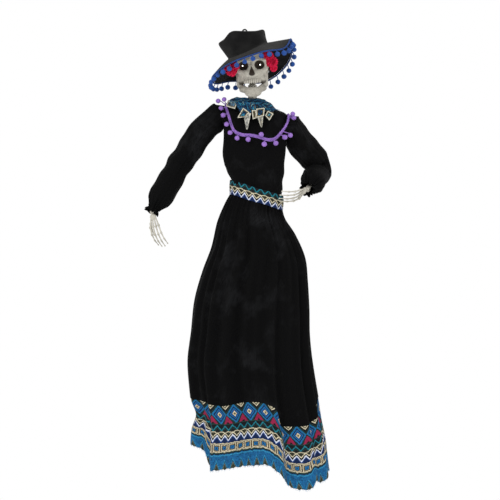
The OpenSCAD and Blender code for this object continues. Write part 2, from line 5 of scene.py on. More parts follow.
import bmesh
import bpy
import numpy as np
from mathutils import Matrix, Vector

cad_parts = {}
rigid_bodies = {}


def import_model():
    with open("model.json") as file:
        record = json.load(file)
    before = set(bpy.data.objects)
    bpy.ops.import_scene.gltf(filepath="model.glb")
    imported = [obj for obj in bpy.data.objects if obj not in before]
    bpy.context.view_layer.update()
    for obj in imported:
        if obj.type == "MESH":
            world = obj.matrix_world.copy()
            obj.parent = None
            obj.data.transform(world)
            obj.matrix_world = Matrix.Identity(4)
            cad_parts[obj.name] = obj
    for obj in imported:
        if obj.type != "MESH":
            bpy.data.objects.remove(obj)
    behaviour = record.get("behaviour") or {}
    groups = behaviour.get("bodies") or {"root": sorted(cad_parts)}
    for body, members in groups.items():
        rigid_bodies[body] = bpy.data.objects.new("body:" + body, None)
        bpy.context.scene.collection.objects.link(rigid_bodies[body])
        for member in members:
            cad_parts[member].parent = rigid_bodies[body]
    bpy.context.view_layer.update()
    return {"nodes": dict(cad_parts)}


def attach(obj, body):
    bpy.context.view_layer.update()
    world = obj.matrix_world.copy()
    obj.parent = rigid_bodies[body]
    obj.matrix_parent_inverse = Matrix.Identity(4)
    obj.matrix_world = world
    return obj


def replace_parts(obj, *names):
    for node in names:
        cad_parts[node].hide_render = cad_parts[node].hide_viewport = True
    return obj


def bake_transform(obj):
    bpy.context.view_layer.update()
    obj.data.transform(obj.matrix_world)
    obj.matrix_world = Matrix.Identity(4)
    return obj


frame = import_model()

MM = 0.001
TAU = 2 * math.pi

# ---------- Driving dimensions, in millimetres, from the CAD frame ----------

SKULL_AT = np.array([12.5, -8.0, -58.0])
HEAD_ROLL = 4.0
NECK_AT = np.array([15.5, 2.0, -97.0])
LED_X = 17.5
LED_Z = -11.0
HAT_TOP_AT = np.array([-3.6, 0.0, -12.0])
HAT_ROLL = 21.0
HAT_TIP = 15.0
CROWN_H = 31.0
CROWN_BASE_R = 42.0
CROWN_TOP_R = 44.5
BRIM_R = 87.0
BRIM_DROP = 26.0
TORSO_AT = np.array([22.0, 0.0, -178.0])
TORSO_ROLL = 9.0
SHOULDER_X = 78.0
SHOULDER_Z = 5.0
UPPER_ARM_L = 126.0
FOREARM_L = 115.0
POSE = {
    # swing and lift at the shoulder, turn and bend at the elbow, turn and bend at the wrist
    "right": (2, 27, 23, 14, 62, 42),
    "left": (45, -36, -2, 112, -58, 18),
}
HAND_TURN = {"right": 60.0, "left": 0.0}
FINGER_CURL = 1.15
POMPOM_R = 5.0
GAUZE_THICK = 0.9
DOWN = np.array([0.0, 0.0, -1.0])

# ---------- Small geometry helpers ----------


def rot(axis, degrees):
    a = math.radians(degrees)
    c, s = math.cos(a), math.sin(a)
    if axis == "x":
        return np.array([[1, 0, 0], [0, c, -s], [0, s, c]])
    if axis == "y":
        return np.array([[c, 0, s], [0, 1, 0], [-s, 0, c]])
    return np.array([[c, -s, 0], [s, c, 0], [0, 0, 1]])


SKULL_TURN = rot("y", -HEAD_ROLL)


def skull_to_world(p):
    return p @ SKULL_TURN.T + SKULL_AT


def unit(v):
    v = np.asarray(v, float)
    return v / np.maximum(np.linalg.norm(v, axis=-1, keepdims=True), 1e-9)


def smoothstep(a, b, t):
    x = np.clip((np.asarray(t, float) - a) / (b - a), 0, 1)
    return x * x * (3 - 2 * x)


def ripples(seed, orders, amps):
    """A closed wavy line: a function of angle, with fixed random phases."""
    rng = np.random.default_rng(seed)
    phases = rng.uniform(0, TAU, len(orders))

    def wave(a, drift=0.0):
        return sum(
            amp * np.cos(k * a + p + drift * (1 + 0.3 * i))
            for i, (k, amp, p) in enumerate(zip(orders, amps, phases))
        )

    return wave


def spline(p, i, f):
    """Smooth curve: the point a share f of the way from p[i + 1] to p[i + 2]."""
    a, b, c, d = (p[(i + k) % len(p)] for k in range(4))
    bend = 2 * a - 5 * b + 4 * c - d
    return 0.5 * (2 * b + f * (c - a) + f**2 * bend + f**3 * (3 * b - a - 3 * c + d))


def curve(points, n):
    """Smooth open curve through points, n samples."""
    p = np.asarray(points, float)
    p = np.vstack([2 * p[0] - p[1], p, 2 * p[-1] - p[-2]])
    t = np.linspace(0, len(points) - 1, n)
    i = np.minimum(t.astype(int), len(points) - 2)
    return spline(p, i, (t - i)[:, None])


def closed_curve(points, n):
    """Smooth loop through points, n samples."""
    t = np.arange(n) / n * len(points)
    i = t.astype(int)
    return spline(np.asarray(points, float), i - 1, (t - i)[:, None])


def angles(n):
    """n even steps round a circle."""
    return np.arange(n) / n * TAU


def oval(angle, x, y, z, at=(0.0, 0.0)):
    """Ring of points round at, with half widths x and y, at height z."""
    return np.stack([at[0] + x * np.cos(angle), at[1] + y * np.sin(angle), z + 0 * angle], -1)


# ---------- Mesh helpers ----------


def new_object(name, verts, faces, material, attributes=None):
    """Mesh object from millimetre vertices and an array of quads or triangles."""
    mesh = bpy.data.meshes.new(name)
    faces = np.asarray(faces, dtype=np.int32)
    count, sides = faces.shape
    mesh.vertices.add(len(verts))
    mesh.vertices.foreach_set("co", (np.asarray(verts, float) * MM).ravel())
    mesh.loops.add(count * sides)
    mesh.loops.foreach_set("vertex_index", faces.ravel())
    mesh.polygons.add(count)
    mesh.polygons.foreach_set("loop_start", np.arange(0, count * sides, sides, dtype=np.int32))
    mesh.polygons.foreach_set("use_smooth", np.full(count, True))
    mesh.update(calc_edges=True)
    mesh.validate()
    for key, values in (attributes or {}).items():
        layer = mesh.attributes.new(key, "FLOAT", "POINT")
        layer.data.foreach_set("value", np.asarray(values, np.float32).ravel())
    mesh.materials.append(material)
    obj = bpy.data.objects.new(name, mesh)
    bpy.context.scene.collection.objects.link(obj)
    return obj


def fix_normals(obj):
    """Turns every face of a piece outward."""
    bm = bmesh.new()
    bm.from_mesh(obj.data)
    bmesh.ops.recalc_face_normals(bm, faces=bm.faces)
    bm.to_mesh(obj.data)
    bm.free()


def grid_faces(rows, cols, wrap):
    """Quads between rows of points; wrap closes each row."""
    i, j = np.meshgrid(np.arange(rows - 1), np.arange(cols if wrap else cols - 1), indexing="ij")
    k = (j + 1) % cols
    near, far = i * cols, (i + 1) * cols
    return np.stack([near + j, near + k, far + k, far + j], -1).reshape(-1, 4)


def sheet_object(name, points, material, wrap=False, uv=None, thickness=0.0, attributes=None):
    """Surface from a rows x columns grid of points; uv holds millimetres along and down the cloth."""
    rows, cols = points.shape[:2]
    obj = new_object(name, points.reshape(-1, 3), grid_faces(rows, cols, wrap), material,
                     attributes=attributes)
    if uv is not None:
        u, v = uv
        faces_i, faces_j = np.meshgrid(
            np.arange(rows - 1), np.arange(cols if wrap else cols - 1), indexing="ij")
        corners = [(0, 0), (0, 1), (1, 1), (1, 0)]
        data = np.stack([
            np.stack([u[faces_i + a, faces_j + b], v[faces_i + a, faces_j + b]], -1)
            for a, b in corners
        ], 2)
        layer = obj.data.uv_layers.new(name="cloth")
        layer.data.foreach_set("uv", data.reshape(-1).astype(np.float32))
    if thickness:
        fix_normals(obj)
        thicken(obj, thickness)
    return obj


def thicken(obj, thickness):
    """Gives a sheet its thickness and applies it to the mesh."""
    mod = obj.modifiers.new("thickness", "SOLIDIFY")
    mod.thickness = thickness * MM
    mod.offset = 0
    graph = bpy.context.evaluated_depsgraph_get()
    mesh = bpy.data.meshes.new_from_object(obj.evaluated_get(graph))
    obj.modifiers.clear()
    obj.data = mesh


def joined(name, parts):
    """One piece from several meshes, keeping their materials."""
    for part in bpy.context.view_layer.objects:
        part.select_set(False)
    for part in parts:
        part.select_set(True)
    bpy.context.view_layer.objects.active = parts[0]
    bpy.ops.object.join()
    parts[0].name = name
    parts[0].data.name = name
    return parts[0]


def tube_points(path, radius, sides, closed=False, hint=(0, 0, 1)):
    """Grid of points round a path; radius may be one number or one per point."""
    path = np.asarray(path, float)
    n = len(path)
    if closed:
        tangent = unit(np.roll(path, -1, 0) - np.roll(path, 1, 0))
    else:
        tangent = unit(np.gradient(path, axis=0))
    hint = np.broadcast_to(np.asarray(hint, float), path.shape)
    side = unit(np.cross(tangent, hint))
    up = np.cross(side, tangent)
    a = angles(sides)[None, :, None]
    r = np.broadcast_to(np.asarray(radius, float), (n,))[:, None, None]
    return path[:, None] + r * (np.cos(a) * side[:, None] + np.sin(a) * up[:, None])


def loop_tube(name, path, radius, material, hint):
    """Round tube along a closed path."""
    sides = 8
    verts = tube_points(path, radius, sides, True, hint).reshape(-1, 3)
    faces = grid_faces(len(path) + 1, sides, True) % len(verts)
    obj = new_object(name, verts, faces, material)
    fix_normals(obj)
    return obj


def merged(parts):
    """One array of points and one of faces from several."""
    starts = np.cumsum([0] + [len(verts) for verts, _ in parts])
    faces = [faces + start for (_, faces), start in zip(parts, starts)]
    return np.concatenate([verts for verts, _ in parts]), np.concatenate(faces)


# ---------- Carved shapes: distance fields turned into meshes ----------


class Field:
    """Grid of signed distances, in millimetres."""

    def __init__(self, low, high, step):
        self.low = np.asarray(low, float)
        self.step = step
        size = np.ceil((np.asarray(high, float) - self.low) / step).astype(int) + 1
        axes = [self.low[k] + step * np.arange(size[k]) for k in range(3)]
        self.x, self.y, self.z = (
            g.astype(np.float32) for g in np.meshgrid(*axes, indexing="ij"))

    def ball(self, at, radii, fold=False):
        x = (np.abs(self.x) if fold else self.x) - at[0]
        y, z = self.y - at[1], self.z - at[2]
        k0 = np.sqrt((x / radii[0]) ** 2 + (y / radii[1]) ** 2 + (z / radii[2]) ** 2) + 1e-6
        k1 = np.sqrt(
            (x / radii[0] ** 2) ** 2 + (y / radii[1] ** 2) ** 2 + (z / radii[2] ** 2) ** 2)
        return k0 * (k0 - 1) / (k1 + 1e-6)

    def bone(self, a, b, ra, rb=None, fold=False):
        """Capsule from a to b whose radius runs from ra to rb."""
        rb = ra if rb is None else rb
        a, b = np.asarray(a, float), np.asarray(b, float)
        x = (np.abs(self.x) if fold else self.x) - a[0]
        y, z = self.y - a[1], self.z - a[2]
        d = b - a
        t = np.clip((x * d[0] + y * d[1] + z * d[2]) / d.dot(d), 0, 1)
        away = np.sqrt((x - t * d[0]) ** 2 + (y - t * d[1]) ** 2 + (z - t * d[2]) ** 2)
        return away - (ra + (rb - ra) * t)

    def mesh(self, f):
        """Surface where f is zero, as vertices and quads facing outward."""
        inside = f < 0
        cells = tuple(s - 1 for s in f.shape)
        total = np.zeros(cells + (3,))
        count = np.zeros(cells)
        quads = []
        for a in range(3):
            b, c = (a + 1) % 3, (a + 2) % 3
            lo = [slice(None)] * 3
            hi = [slice(None)] * 3
            lo[a], hi[a] = slice(0, -1), slice(1, None)
            f0, f1 = f[tuple(lo)], f[tuple(hi)]
            at = np.argwhere(inside[tuple(lo)] != inside[tuple(hi)])
            v0, v1 = f0[tuple(at.T)], f1[tuple(at.T)]
            pos = at.astype(float)
            pos[:, a] += v0 / (v0 - v1)
            for db in (0, -1):
                for dc in (0, -1):
                    cell = at.copy()
                    cell[:, b] += db
                    cell[:, c] += dc
                    good = np.all((cell >= 0) & (cell < np.array(cells)), 1)
                    np.add.at(total, tuple(cell[good].T), pos[good])
                    np.add.at(count, tuple(cell[good].T), 1)
            inner = (
                (at[:, b] > 0) & (at[:, c] > 0)
                & (at[:, b] < f.shape[b] - 1) & (at[:, c] < f.shape[c] - 1))
            at, v0 = at[inner], v0[inner]
            corner = []
            for db, dc in ((0, 0), (-1, 0), (-1, -1), (0, -1)):
                cell = at.copy()
                cell[:, b] += db
                cell[:, c] += dc
                corner.append(np.ravel_multi_index(tuple(cell.T), cells))
            quad = np.stack(corner, 1)
            quad[v0 >= 0] = quad[v0 >= 0][:, ::-1]
            quads.append(quad)
        used = np.flatnonzero(count.ravel())
        index = np.full(count.size, -1)
        index[used] = np.arange(len(used))
        verts = total.reshape(-1, 3)[used] / count.ravel()[used][:, None]
        return self.low + verts * self.step, index[np.concatenate(quads)]


def join_soft(a, b, k):
    """Union of two fields with a fillet about k wide."""
    h = np.clip(0.5 + 0.5 * (b - a) / k, 0, 1)
    return b * (1 - h) + a * h - k * h * (1 - h)


def cut_soft(a, b, k):
    return -join_soft(-a, b, k)


def relax(verts, faces, rounds):
    """Evens out a carved surface: each round moves points halfway to their neighbours."""
    edges = np.concatenate([faces[:, [k, (k + 1) % 4]] for k in range(4)])
    for _ in range(rounds):
        total = np.zeros_like(verts)
        count = np.zeros(len(verts))
        np.add.at(total, edges[:, 0], verts[edges[:, 1]])
        np.add.at(count, edges[:, 0], 1)
        verts = verts + 0.5 * (total / np.maximum(count, 1)[:, None] - verts)
    return verts


# ---------- Material helpers ----------


class Value:
    """A shader number that Python arithmetic can use."""

    def __init__(self, shade, socket):
        self.shade, self.socket = shade, socket

    def _do(self, op, *others, clamp=False):
        node = self.shade.tree.nodes.new("ShaderNodeMath")
        node.operation = op
        node.use_clamp = clamp
        for k, item in enumerate((self,) + others):
            if isinstance(item, Value):
                self.shade.tree.links.new(item.socket, node.inputs[k])
            else:
                node.inputs[k].default_value = item
        return Value(self.shade, node.outputs[0])

    def __rsub__(self, other):
        return (self * -1.0) + other

    def clamp(self):
        return self._do("ADD", 0.0, clamp=True)

    def ramp(self, low, high):
        """0 at low, 1 at high, and straight between."""
        return ((self - low) * (1.0 / (high - low))).clamp()


def add_operation(name, operation):
    """Gives Value a method that makes one math node."""

    def method(value, *others):
        return value._do(operation, *others)

    setattr(Value, name, method)


for method_name, math_operation in (
        ("__add__", "ADD"), ("__sub__", "SUBTRACT"), ("__mul__", "MULTIPLY"), ("abs", "ABSOLUTE"),
        ("fract", "FRACT"), ("min", "MINIMUM"), ("max", "MAXIMUM"), ("above", "GREATER_THAN"),
        ("below", "LESS_THAN"), ("power", "POWER")):
    add_operation(method_name, math_operation)


class Shade:
    """A Principled material under construction."""

    def __init__(self, name, **constants):
        self.material = bpy.data.materials.new(name)
        self.material.use_nodes = True
        self.tree = self.material.node_tree
        self.bsdf = self.tree.nodes["Principled BSDF"]
        for key, value in constants.items():
            self.bsdf.inputs[key.replace("_", " ")].default_value = value

    def coords(self, kind="Object"):
        node = self.tree.nodes.new("ShaderNodeTexCoord")
        return node.outputs[kind]

    def split(self, kind="Object"):
        """The three coordinates, as numbers."""
        node = self.tree.nodes.new("ShaderNodeSeparateXYZ")
        self.tree.links.new(self.coords(kind), node.inputs[0])
        return [Value(self, out) for out in node.outputs]

    def cloth(self, u_scale, v_scale):
        """Coordinates along the cloth, per millimetre, with their own scale each way."""
        node = self.tree.nodes.new("ShaderNodeMapping")
        node.inputs["Scale"].default_value = (u_scale, v_scale, 1)
        self.tree.links.new(self.coords("UV"), node.inputs["Vector"])
        return node.outputs[0]

    def noise(self, scale, detail=2.0, rough=0.5, vector=None, distortion=0.0):
        node = self.tree.nodes.new("ShaderNodeTexNoise")
        node.inputs["Scale"].default_value = scale
        node.inputs["Detail"].default_value = detail
        node.inputs["Roughness"].default_value = rough
        node.inputs["Distortion"].default_value = distortion
        self.tree.links.new(vector or self.coords(), node.inputs["Vector"])
        return Value(self, node.outputs[0])

    def cells(self, scale, vector=None):
        """Distance to the nearest border between cells."""
        node = self.tree.nodes.new("ShaderNodeTexVoronoi")
        node.feature = "DISTANCE_TO_EDGE"
        node.inputs["Scale"].default_value = scale
        self.tree.links.new(vector or self.coords(), node.inputs["Vector"])
        return Value(self, node.outputs["Distance"])

    def attribute(self, name):
        node = self.tree.nodes.new("ShaderNodeAttribute")
        node.attribute_name = name
        return Value(self, node.outputs["Fac"])

    def mix(self, mask, a, b):
        """Colour a where mask is 0, colour b where it is 1."""
        node = self.tree.nodes.new("ShaderNodeMix")
        node.data_type = "RGBA"
        self.tree.links.new(mask.socket, node.inputs[0])
        for k, item in ((6, a), (7, b)):
            if isinstance(item, tuple):
                node.inputs[k].default_value = item + (1.0,)
            else:
                self.tree.links.new(item, node.inputs[k])
        return node.outputs[2]

    def colour(self, source):
        self.tree.links.new(source, self.bsdf.inputs["Base Color"])

    def roughness(self, value):
        self.tree.links.new(value.socket, self.bsdf.inputs["Roughness"])

    def bump(self, value, depth):
        """depth is how far, in metres, a change of 1 in value stands out."""
        node = self.tree.nodes.new("ShaderNodeBump")
        node.inputs["Strength"].default_value = 1.0
        node.inputs["Distance"].default_value = depth
        self.tree.links.new(value.socket, node.inputs["Height"])
        self.tree.links.new(node.outputs[0], self.bsdf.inputs["Normal"])


# ---------- Materials ----------


def felt_material():
    m = Shade("black_felt", Roughness=0.95, Sheen_Weight=0.03, Sheen_Roughness=0.5,
              Sheen_Tint=(0.75, 0.74, 0.70, 1), Specular_IOR_Level=0.2)
    fibre = m.noise(900, 4, 0.7)
    cloud = m.noise(34, 3, 0.6)
    m.colour(m.mix(cloud.ramp(0.38, 0.68), (0.0024, 0.0024, 0.0025), (0.0098, 0.0096, 0.0095)))
    m.bump(fibre + cloud * 0.6, 0.0005)
    return m.material


def gauze_material():
    """Crinkled black gauze; the UV runs round the cloth and down it, in millimetres."""
    m = Shade("black_gauze", Roughness=0.9, Sheen_Weight=0.006, Sheen_Roughness=0.4,
              Sheen_Tint=(0.6, 0.62, 0.66, 1), Specular_IOR_Level=0.08)
    crinkle = m.noise(1.0, 3, 0.65, m.cloth(0.42, 0.05), 0.4)
    ridge = (crinkle - 0.5).abs().ramp(0.0, 0.16)
    fine = m.noise(1.0, 2, 0.6, m.cloth(1.6, 0.35))
    patch = m.noise(16, 3, 0.6)
    # lighter grey patches away from the crinkle ridges: painted sheen on the gauze
    wear_and_sheen = patch.ramp(0.52, 0.74) * (1.0 - ridge) * 0.8
    base = m.mix(fine.ramp(0.35, 0.7), (0.0008, 0.0008, 0.0009), (0.0026, 0.0026, 0.0028))
    m.colour(m.mix(wear_and_sheen, base, (0.014, 0.0145, 0.016)))
    m.bump(crinkle * 1.6 + fine * 0.4, 0.0012)
    return m.material


def yarn_material(name, deep, mid, light):
    m = Shade(name, Roughness=0.9, Sheen_Weight=0.10, Sheen_Roughness=0.4,
              Sheen_Tint=light + (1.0,))
    tone = m.noise(60, 3, 0.6)
    fibre = m.noise(1500, 2, 0.7)
    base = m.mix(tone.ramp(0.35, 0.65), deep, mid)
    m.colour(m.mix(fibre.ramp(0.45, 0.8), base, light))
    m.bump(fibre, 0.0006)
    return m.material


def bone_material(name, dark, pale, dirt_and_shade=True):
    m = Shade(name, Roughness=0.62, Specular_IOR_Level=0.35)
    cloud = m.noise(75, 5, 0.65)
    pore = m.noise(620, 3, 0.7)
    stain = m.noise(150, 4, 0.75, distortion=0.6)
    base = m.mix(cloud.ramp(0.32, 0.7), dark, pale)
    base = m.mix(stain.ramp(0.56, 0.72) * 0.7, base, (0.20, 0.178, 0.140))
    base = m.mix(pore.ramp(0.58, 0.74) * 0.55, base, (0.16, 0.14, 0.11))
    if dirt_and_shade:
        # darkens the bone by its marked value: dark paint and smudges, plus painted shade in hollows,
        # between the teeth and under the bone
        depth = (m.attribute("dirt_and_shade") + (stain - 0.5) * 0.5).ramp(0.12, 0.85)
        base = m.mix(depth.power(0.8), base, (0.030, 0.021, 0.014))
    m.colour(base)
    m.roughness(cloud * 0.25 + 0.5)
    m.bump(pore * 0.5 + cloud, 0.0004)
    return m.material


def rose_material():
    m = Shade("rose_silk", Roughness=0.75, Sheen_Weight=0.03, Specular_IOR_Level=0.15)
    depth = m.attribute("depth")
    vein_highlight = m.noise(260, 3, 0.6)
    crease = m.cells(300)
    # the depth mark paints shade deep in the rose and light out on the petal tips
    base = m.mix(depth, (0.30, 0.002, 0.018), (0.92, 0.010, 0.075))
    # cell borders painted dark: painted shade in the gaps between petals
    base = m.mix((1.0 - crease.ramp(0.0, 0.16)) * 0.8, base, (0.20, 0.0015, 0.013))
    # painted highlight: pale pink streaks on the outer petals
    m.colour(m.mix(vein_highlight.ramp(0.50, 0.72) * depth * 0.6, base, (1.0, 0.065, 0.20)))
    m.bump(vein_highlight + crease * 0.5, 0.0009)
    return m.material


BLACK = (0.0045, 0.005, 0.006)
NAVY = (0.005, 0.014, 0.06)
ROYAL = (0.008, 0.038, 0.17)
CERULEAN = (0.009, 0.125, 0.315)
SKY = (0.030, 0.26, 0.43)
TEAL = (0.010, 0.17, 0.22)
LILAC = (0.66, 0.70, 0.80)
CREAM = (0.60, 0.54, 0.38)
GOLD = (0.27, 0.205, 0.08)
OLIVE = (0.040, 0.038, 0.018)
GREEN = (0.014, 0.045, 0.036)
CRIMSON = (0.27, 0.012, 0.055)
BROWN = (0.10, 0.042, 0.022)
PERIOD = 31.0


def weave_finish(m, colour):
    """Cotton print: uneven ink, threads and soft wrinkles."""
    ink = m.noise(1.0, 3, 0.7, m.cloth(0.35, 0.35))
    wrinkle = m.noise(1.0, 3, 0.6, m.cloth(0.10, 0.045), 0.5)
    thread = m.noise(1.0, 1, 0.5, m.cloth(2.2, 0.6))
    wear_and_sheen = m.mix(ink.ramp(0.55, 0.8) * 0.16, colour, (0.09, 0.12, 0.13))
    m.colour(m.mix((1.0 - ink).ramp(0.46, 0.72) * 0.75, wear_and_sheen, (0.003, 0.008, 0.016)))
    m.bump(wrinkle * 1.6 + thread * 0.35 + ink * 0.3, 0.0012)


class Print:
    """Colour painted in layers; a layer shows where its mask is 1."""

    def __init__(self, shade):
        self.shade = shade
        self.out = BLACK

    def paint(self, mask, colour):
        self.out = self.shade.mix(mask, self.out, colour)

    def nested(self, shape, where, *steps):
        """One figure inside another: each step is a limit that shape stays below, and a colour."""
        for limit, colour in steps:
            self.paint(shape.below(limit) * where if where else shape.below(limit), colour)

    def lines(self, where, *steps):
        """Each step is a value that is 0 along a line, half the line's width, and a colour."""
        for value, width, colour in steps:
            mask = value.abs().below(width)
            self.paint(mask * where if where else mask, colour)


def print_material(name):
    """The bands of the printed cotton, from the seam (v = 0) to the edge (v = 132)."""
    m = Shade(name, Roughness=0.85, Sheen_Weight=0.02, Specular_IOR_Level=0.15)
    u, v, _ = m.split("UV")
    u = u + (m.noise(1.0, 2, 0.6, m.cloth(0.22, 0.22)) - 0.5) * 1.6
    v = v + (m.noise(1.0, 2, 0.6, m.cloth(0.17, 0.19)) - 0.5) * 2.2
    v = (v * 1.087).min((v - 99.0) * 0.74 + 107.6)
    across = ((u * (1 / PERIOD)).fract() - 0.5).abs() * PERIOD
    half = ((u * (2 / PERIOD)).fract() - 0.5).abs() * (PERIOD / 2)
    saw = half * (4 / PERIOD) * 2.0 - 1.0
    gap = (PERIOD / 2) - across
    art = Print(m)

    # large diamonds and the crowns between them
    top = v.below(44.0)
    ring = across + (v - 20.5).abs() * 0.70
    art.nested(ring, top, (18.4, GREEN), (17.3, BLACK), (15.6, TEAL), (15.0, CERULEAN), (11.8, NAVY),
               (9.4, CERULEAN), (7.0, ROYAL), (4.6, CREAM), (2.5, GOLD), (1.2, BROWN))
    art.nested(gap + v * 0.9, None, (9.4, BLACK), (8.3, CREAM), (5.9, OLIVE), (3.4, CREAM))
    tent = gap - (v - 23.0) * 0.52
    art.paint(tent.below(0.0) * top * v.below(41.0), CRIMSON)
    art.paint((tent + 6.0).below(0.0) * v.above(37.0) * v.below(41.0), BLACK)
    art.paint(v.above(41.0) * v.below(43.0), GREEN)

    # teal zigzag on black
    band = v.above(43.0) * v.below(58.0)
    art.paint(band, BLACK)
    art.lines(band, (v - 50.6 - saw * 5.4, 1.9, TEAL), (v - 55.5 - saw * 4.6, 0.8, GREEN))

    # cream and lilac zigzags
    band = v.above(58.0) * v.below(84.5)
    zig = v - 65.6 - saw * 5.0
    low = v - 73.0 - saw * 6.2
    art.paint(band, OLIVE)
    art.paint(zig.above(0.0) * band, BLACK)
    art.lines(band, (zig + 4.4, 0.8, BLACK), (v - 60.0 + saw * 1.5, 0.9, CREAM), (zig - 0.2, 1.5, CREAM))
    art.paint(low.above(0.0) * band, ROYAL)
    art.paint((low - 5.5).above(0.0) * band, NAVY)
    art.lines(band, (low, 1.8, LILAC))

    # row of squares
    band = v.above(84.0) * v.below(107.0)
    art.paint(band, OLIVE)
    art.lines(band, (v - 85.2, 0.9, CREAM))
    box = half.max((v - 95.0).abs() * 0.86)
    art.nested(box, None, (7.2, BROWN), (6.7, CREAM), (5.3, BLACK), (4.5, GOLD), (3.9, BLACK),
               (3.3, CERULEAN), (1.0, NAVY))
    art.lines(band, (v - 104.0, 0.7, CREAM))

    # mottled blue border with points along the edge
    art.paint(v.above(105.2), GREEN)
    art.paint(v.above(107.2), BLACK)
    border = v.above(108.6)
    art.paint(border, (0.009, 0.118, 0.29))
    mottle = m.noise(1.0, 3, 0.7, m.cloth(0.12, 0.16), 1.0)
    art.paint(mottle.ramp(0.46, 0.60) * border * 0.65, (0.005, 0.052, 0.135))
    art.lines(None, (v - 110.6, 0.6, SKY))
    tri = half * 2.4 + (132.5 - v) - 16.0
    art.nested(tri, border, (0.0, SKY), (-1.8, (0.010, 0.060, 0.13)), (-6.0, GREEN),
               (-8.8, (0.030, 0.034, 0.018)))
    art.lines(border, (tri + 6.0, 0.5, GOLD))
    weave_finish(m, art.out)
    return m.material


def scarf_material():
    """Kerchief cloth: cream and gold along the cut edge, then small blue and teal figures."""
    m = Shade("kerchief_print", Roughness=0.82, Sheen_Weight=0.02, Specular_IOR_Level=0.15)
    speck = m.cells(1.0, m.cloth(0.33, 0.21))
    streak = m.noise(1.0, 3, 0.6, m.cloth(0.28, 0.09), 1.2)
    base = m.mix(streak.ramp(0.40, 0.52), (0.003, 0.010, 0.030), (0.008, 0.050, 0.135))
    base = m.mix(streak.above(0.53), base, (0.012, 0.125, 0.27))
    base = m.mix(speck.below(0.06), base, (0.002, 0.006, 0.012))
    base = m.mix(streak.above(0.61), base, (0.03, 0.30, 0.38))
    base = m.mix(streak.above(0.665), base, (0.40, 0.42, 0.30))
    frame_at = m.attribute("edge") + (streak - 0.5) * 1.8
    for limit, colour in (
            (4.4, (0.004, 0.008, 0.014)), (3.5, GOLD), (2.9, (0.010, 0.012, 0.012)),
            (2.1, (0.66, 0.62, 0.50)), (0.5, (0.16, 0.17, 0.14))):
        base = m.mix(frame_at.below(limit), base, colour)
    shade = m.mix(streak.ramp(0.42, 0.58), (0.13, 0.14, 0.14), (0.66, 0.65, 0.58))
    weave_finish(m, m.mix(m.attribute("pale") * 0.85, base, shade))
    return m.material


def plain_material(name, low, high, roughness, scale=300.0, metallic=0.0, depth=0.0002):
    m = Shade(name, Metallic=metallic)
    tone = m.noise(scale, 3, 0.6)
    m.colour(m.mix(tone.ramp(0.35, 0.7), low, high))
    m.roughness(tone * 0.2 + (roughness - 0.1))
    m.bump(tone, depth)
    return m.material


GREY_BONE = ((0.37, 0.352, 0.298), (0.555, 0.53, 0.458))
FELT = felt_material()
GAUZE = gauze_material()
BLUE_YARN = yarn_material(
    "blue_trim", (0.002, 0.014, 0.12), (0.004, 0.052, 0.29), (0.03, 0.17, 0.50))
BLUE_CORD = yarn_material(
    "blue_cord", (0.002, 0.010, 0.08), (0.004, 0.036, 0.20), (0.02, 0.11, 0.34))
PURPLE_YARN = yarn_material(
    "purple_trim", (0.13, 0.05, 0.30), (0.27, 0.125, 0.50), (0.50, 0.34, 0.72))
BONE = bone_material("bone_plastic", *GREY_BONE)
BONE_PLAIN = bone_material("bone_inside", *GREY_BONE, dirt_and_shade=False)
ROSE = rose_material()
COTTON = print_material("printed_cotton")
KERCHIEF = scarf_material()
STEEL = plain_material("steel", (0.42, 0.42, 0.43), (0.62, 0.62, 0.62), 0.34, 900, 1.0, 0.0001)
BLACK_STEEL = plain_material(
    "black_steel", (0.006, 0.006, 0.006), (0.014, 0.014, 0.014), 0.45, 700, 0.6)
BOARD = plain_material("circuit_board", (0.010, 0.14, 0.045), (0.016, 0.19, 0.06), 0.4, 500)
BLACK_PLASTIC = plain_material("black_plastic", (0.012, 0.012, 0.012), (0.022, 0.022, 0.022), 0.5, 700)
RED_WIRE = plain_material("red_wire", (0.40, 0.012, 0.012), (0.52, 0.02, 0.016), 0.45, 600)
THREAD = plain_material("hem_thread", (0.02, 0.15, 0.36), (0.06, 0.30, 0.5), 0.9, 400)


def lens_material():
    """Clear dome with a bright point in the middle."""
    m = Shade("led_lens", Roughness=0.1, Coat_Weight=0.6, Coat_Roughness=0.08,
              Emission_Color=(1, 0.99, 0.96, 1))
    x, _, z = m.split()
    reach = []
    for side in (-1, 1):
        at = skull_to_world(np.array([side * LED_X, -30.0, LED_Z])) * MM
        reach.append(((x - float(at[0])).power(2.0) + (z - float(at[2])).power(2.0)).power(0.5))
    core = 1.0 - reach[0].min(reach[1]).ramp(0.0006, 0.0012)
    m.colour(m.mix(core, (0.26, 0.23, 0.18), (1.0, 1.0, 0.98)))
    m.tree.links.new((core * 6.0).socket, m.bsdf.inputs["Emission Strength"])
    return m.material


LENS = lens_material()

# ---------- Skull, jaw and hands ----------


def built(f, shapes):
    """Joins each shape on; the last number of each is how softly it joins."""
    for shape, k in shapes:
        f = join_soft(f, shape, k)
    return f


def teeth(g, f, turns, row, radius, radii):
    """A tooth on each side at each turn, on an arc whose middle is at row."""
    for turn in turns:
        t = math.radians(turn)
        at = (row[0] * math.sin(t), row[1] - radius * math.cos(t), row[2])
        f = join_soft(f, g.ball(at, radii, True), 0.7)
    return f


def tooth_gaps(x, turns, radius):
    """How close each point is to a gap between two teeth."""
    dark = np.zeros(len(x))
    for turn in turns:
        t = math.radians(turn)
        gap = np.abs(x - radius * math.sin(t)) / (0.9 * max(math.cos(t), 0.5))
        dark = np.maximum(dark, 1 - smoothstep(0.3, 1.3, gap))
    return dark


